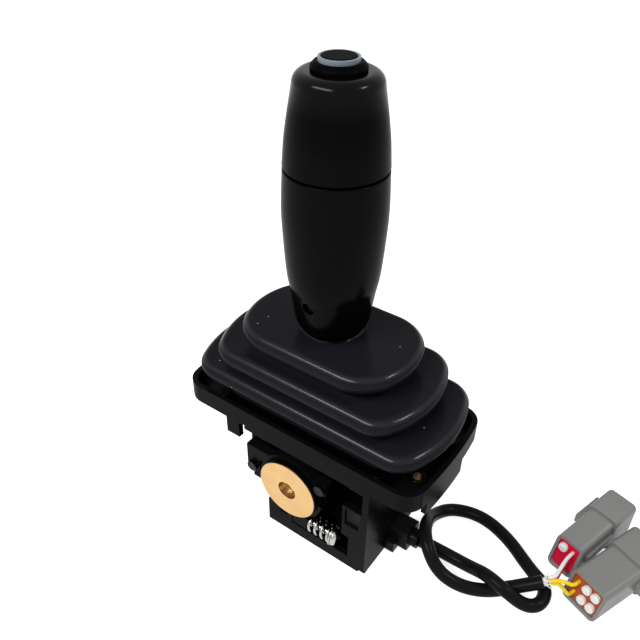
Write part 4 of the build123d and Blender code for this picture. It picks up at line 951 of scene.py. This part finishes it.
class JOYSTICK_OT_cable(bpy.types.Operator):
    """Lays the free cable along its route"""

    bl_idname = "joystick.cable"
    bl_label = "Cable"

    def execute(self, context):
        cable = settings("cable")
        curve = bpy.data.curves.new("cable_jacket", "CURVE")
        curve.dimensions = "3D"
        spline = curve.splines.new("NURBS")
        spline.points.add(len(CABLE_ROUTE) - 1)
        spline.points.foreach_set("co", np.column_stack([CABLE_ROUTE, np.ones(len(CABLE_ROUTE))]).ravel())
        spline.order_u = 3
        spline.use_endpoint_u = True
        spline.resolution_u = 24
        curve.bevel_depth = cable.diameter / 2
        curve.bevel_resolution = 8
        curve.use_fill_caps = True
        piece = bpy.data.objects.new("cable_jacket", curve)
        bpy.context.scene.collection.objects.link(piece)
        dress(piece, FINISHES["cable_black"])
        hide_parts("cable")
        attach(piece, "base")
        names = [n for n in frame["record"]["physics"]["cord_nodes"] if n not in ("cable", "cable_sleeve")]
        with_pieces = [bpy.data.objects.get(n + "_finished") or NODES[n] for n in names]
        with_pieces.append(self.fringe(cable))
        return {"FINISHED"}

    def fringe(self, cable):
        """The torn sheath at the cut end: a core, and strands that leave it in a flare.

        A strand's turn, reach and flare each swing by a sine of its number, so that no two are alike.
        """
        end = CABLE_ROUTE[-1]
        along = end - CABLE_ROUTE[-2]
        along /= np.linalg.norm(along)
        side = np.cross(along, (0, 0, 1))
        side /= np.linalg.norm(side)
        other = np.cross(side, along)
        t = np.linspace(0, 1, 7)[:, None]
        core = end + along * (-CORE_INSET + CORE_LENGTH * t)
        parts = [tube("sheath_core", core, CORE_RADIUS - CORE_TAPER * t[:, 0], 20)]
        for k in range(cable.strands):
            angle = 2 * np.pi * k / cable.strands + 0.4 * math.sin(5 * k)
            reach = 0.0030 + 0.0012 * math.sin(3 * k + 1)
            flare = 0.0011 + 0.0009 * math.sin(2 * k)
            radial = side * math.cos(angle) + other * math.sin(angle)
            path = end + along * reach * t + radial * (STRAND_RING + flare * t ** 2)
            parts.append(tube("strand", path, STRAND_RADIUS - STRAND_TAPER * t[:, 0], 8))
        with bpy.context.temp_override(active_object=parts[0], selected_editable_objects=parts):
            bpy.ops.object.join()
        piece = parts[0]
        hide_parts("cable_sleeve")
        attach(dress(piece, FINISHES["sheath_white"]), "base")
        return piece


def area_lamp(name, place, width, height, power):
    """A soft box that looks at the middle of the controller."""
    data = bpy.data.lights.new(name, "AREA")
    data.shape = "RECTANGLE"
    data.size = width
    data.size_y = height
    data.energy = power
    lamp = bpy.data.objects.new(name, data)
    lamp.location = place
    lamp.rotation_mode = "QUATERNION"
    lamp.rotation_quaternion = (Vector(LAMP_AIM) - Vector(place)).to_track_quat("-Z", "Y")
    bpy.context.scene.collection.objects.link(lamp)


def seen_by_eye(tree):
    """One where a ray comes from the camera, a reflection or a refraction, and zero elsewhere."""
    path = tree.nodes.new("ShaderNodeLightPath")
    total = path.outputs["Is Camera Ray"]
    for label in ("Is Glossy Ray", "Is Transmission Ray"):
        total = math_node(tree, "MAXIMUM", total, path.outputs[label])
    return total


class JOYSTICK_OT_stage(bpy.types.Operator):
    """Sets the floor, the white surroundings, the lamps and the camera"""

    bl_idname = "joystick.stage"
    bl_label = "Stage"

    def execute(self, context):
        stage = settings("stage")
        scene = context.scene
        scene.view_settings.view_transform = "Standard"
        self.surroundings(scene)
        self.floor(stage)
        for name, values in LAMPS.items():
            area_lamp(name, *values)
        self.camera(stage, scene)
        return {"FINISHED"}

    def surroundings(self, scene):
        """A room that is white to the eye and gives the controller a plainer light."""
        world = bpy.data.worlds.new("white_room")
        world.use_nodes = True
        scene.world = world
        tree = world.node_tree
        background = tree.nodes["Background"]
        level = ranged(tree, seen_by_eye(tree), 0.0, 1.0, WORLD_LIGHT, 1.0)
        tree.links.new(level, background.inputs["Strength"])
        background.inputs["Color"].default_value = (1, 1, 1, 1)

    def floor(self, stage):
        """A pale floor just under the lowest piece, which glows to the eye and keeps the shadow."""
        height = CAD_BOX[0].z - FLOOR_GAP
        corners = np.array([(-1, -1), (1, -1), (1, 1), (-1, 1)]) * FLOOR_REACH
        points = np.column_stack([corners, np.full(4, height)])
        floor = add_mesh("floor", points, np.array([[0, 1, 2, 3]]), smooth=False)
        material = base_material("pale_floor", tuple(stage.floor_colour), 0.9, specular=0.0)
        tree, shader = tree_and_shader(material)
        shader.inputs["Emission Color"].default_value = (1, 1, 1, 1)
        glow = math_node(tree, "MULTIPLY", seen_by_eye(tree), FLOOR_GLOW)
        tree.links.new(glow, shader.inputs["Emission Strength"])
        dress(floor, material)

    def camera(self, stage, scene):
        """A camera turned by its heading, then down, then about its own axis."""
        data = bpy.data.cameras.new("camera")
        data.lens = stage.lens
        data.sensor_width = 36
        data.clip_start = 0.01
        camera = bpy.data.objects.new("camera", data)
        turn = (Matrix.Rotation(stage.azimuth, 4, "Z") @ Matrix.Rotation(math.pi / 2 - stage.pitch, 4, "X")
                @ Matrix.Rotation(stage.roll, 4, "Z"))
        camera.matrix_world = Matrix.Translation(stage.place) @ turn
        scene.collection.objects.link(camera)
        scene.camera = camera


class JOYSTICK_PT_panel(bpy.types.Panel):
    """Lists the steps in the 3D view's sidebar"""

    bl_idname = "JOYSTICK_PT_panel"
    bl_label = "Joystick controller"
    bl_space_type = "VIEW_3D"
    bl_region_type = "UI"
    bl_category = "Joystick"

    def draw(self, context):
        for name in STEPS:
            self.layout.operator("joystick." + name)
        for name in SETTINGS:
            box = self.layout.box()
            for label in settings(name).__annotations__:
                box.prop(settings(name), label)


SETTINGS = {
    "grip": GripSettings, "gaiter": GaiterSettings, "springs": SpringSettings, "cable": CableSettings,
    "stage": StageSettings,
}
STEPS = {
    "finishes": JOYSTICK_OT_finishes, "grip": JOYSTICK_OT_grip, "gaiter": JOYSTICK_OT_gaiter,
    "springs": JOYSTICK_OT_springs, "cable": JOYSTICK_OT_cable, "stage": JOYSTICK_OT_stage,
}
CLASSES = [*SETTINGS.values(), *STEPS.values(), JOYSTICK_PT_panel]


def register():
    for cls in CLASSES:
        bpy.utils.register_class(cls)
    for name, cls in SETTINGS.items():
        setattr(bpy.types.Scene, "joystick_" + name, PointerProperty(type=cls))


def unregister():
    for name in SETTINGS:
        delattr(bpy.types.Scene, "joystick_" + name)
    for cls in reversed(CLASSES):
        bpy.utils.unregister_class(cls)


def main():
    register()
    for name in STEPS:
        getattr(bpy.ops.joystick, name)()


if __name__ == "__main__":
    main()
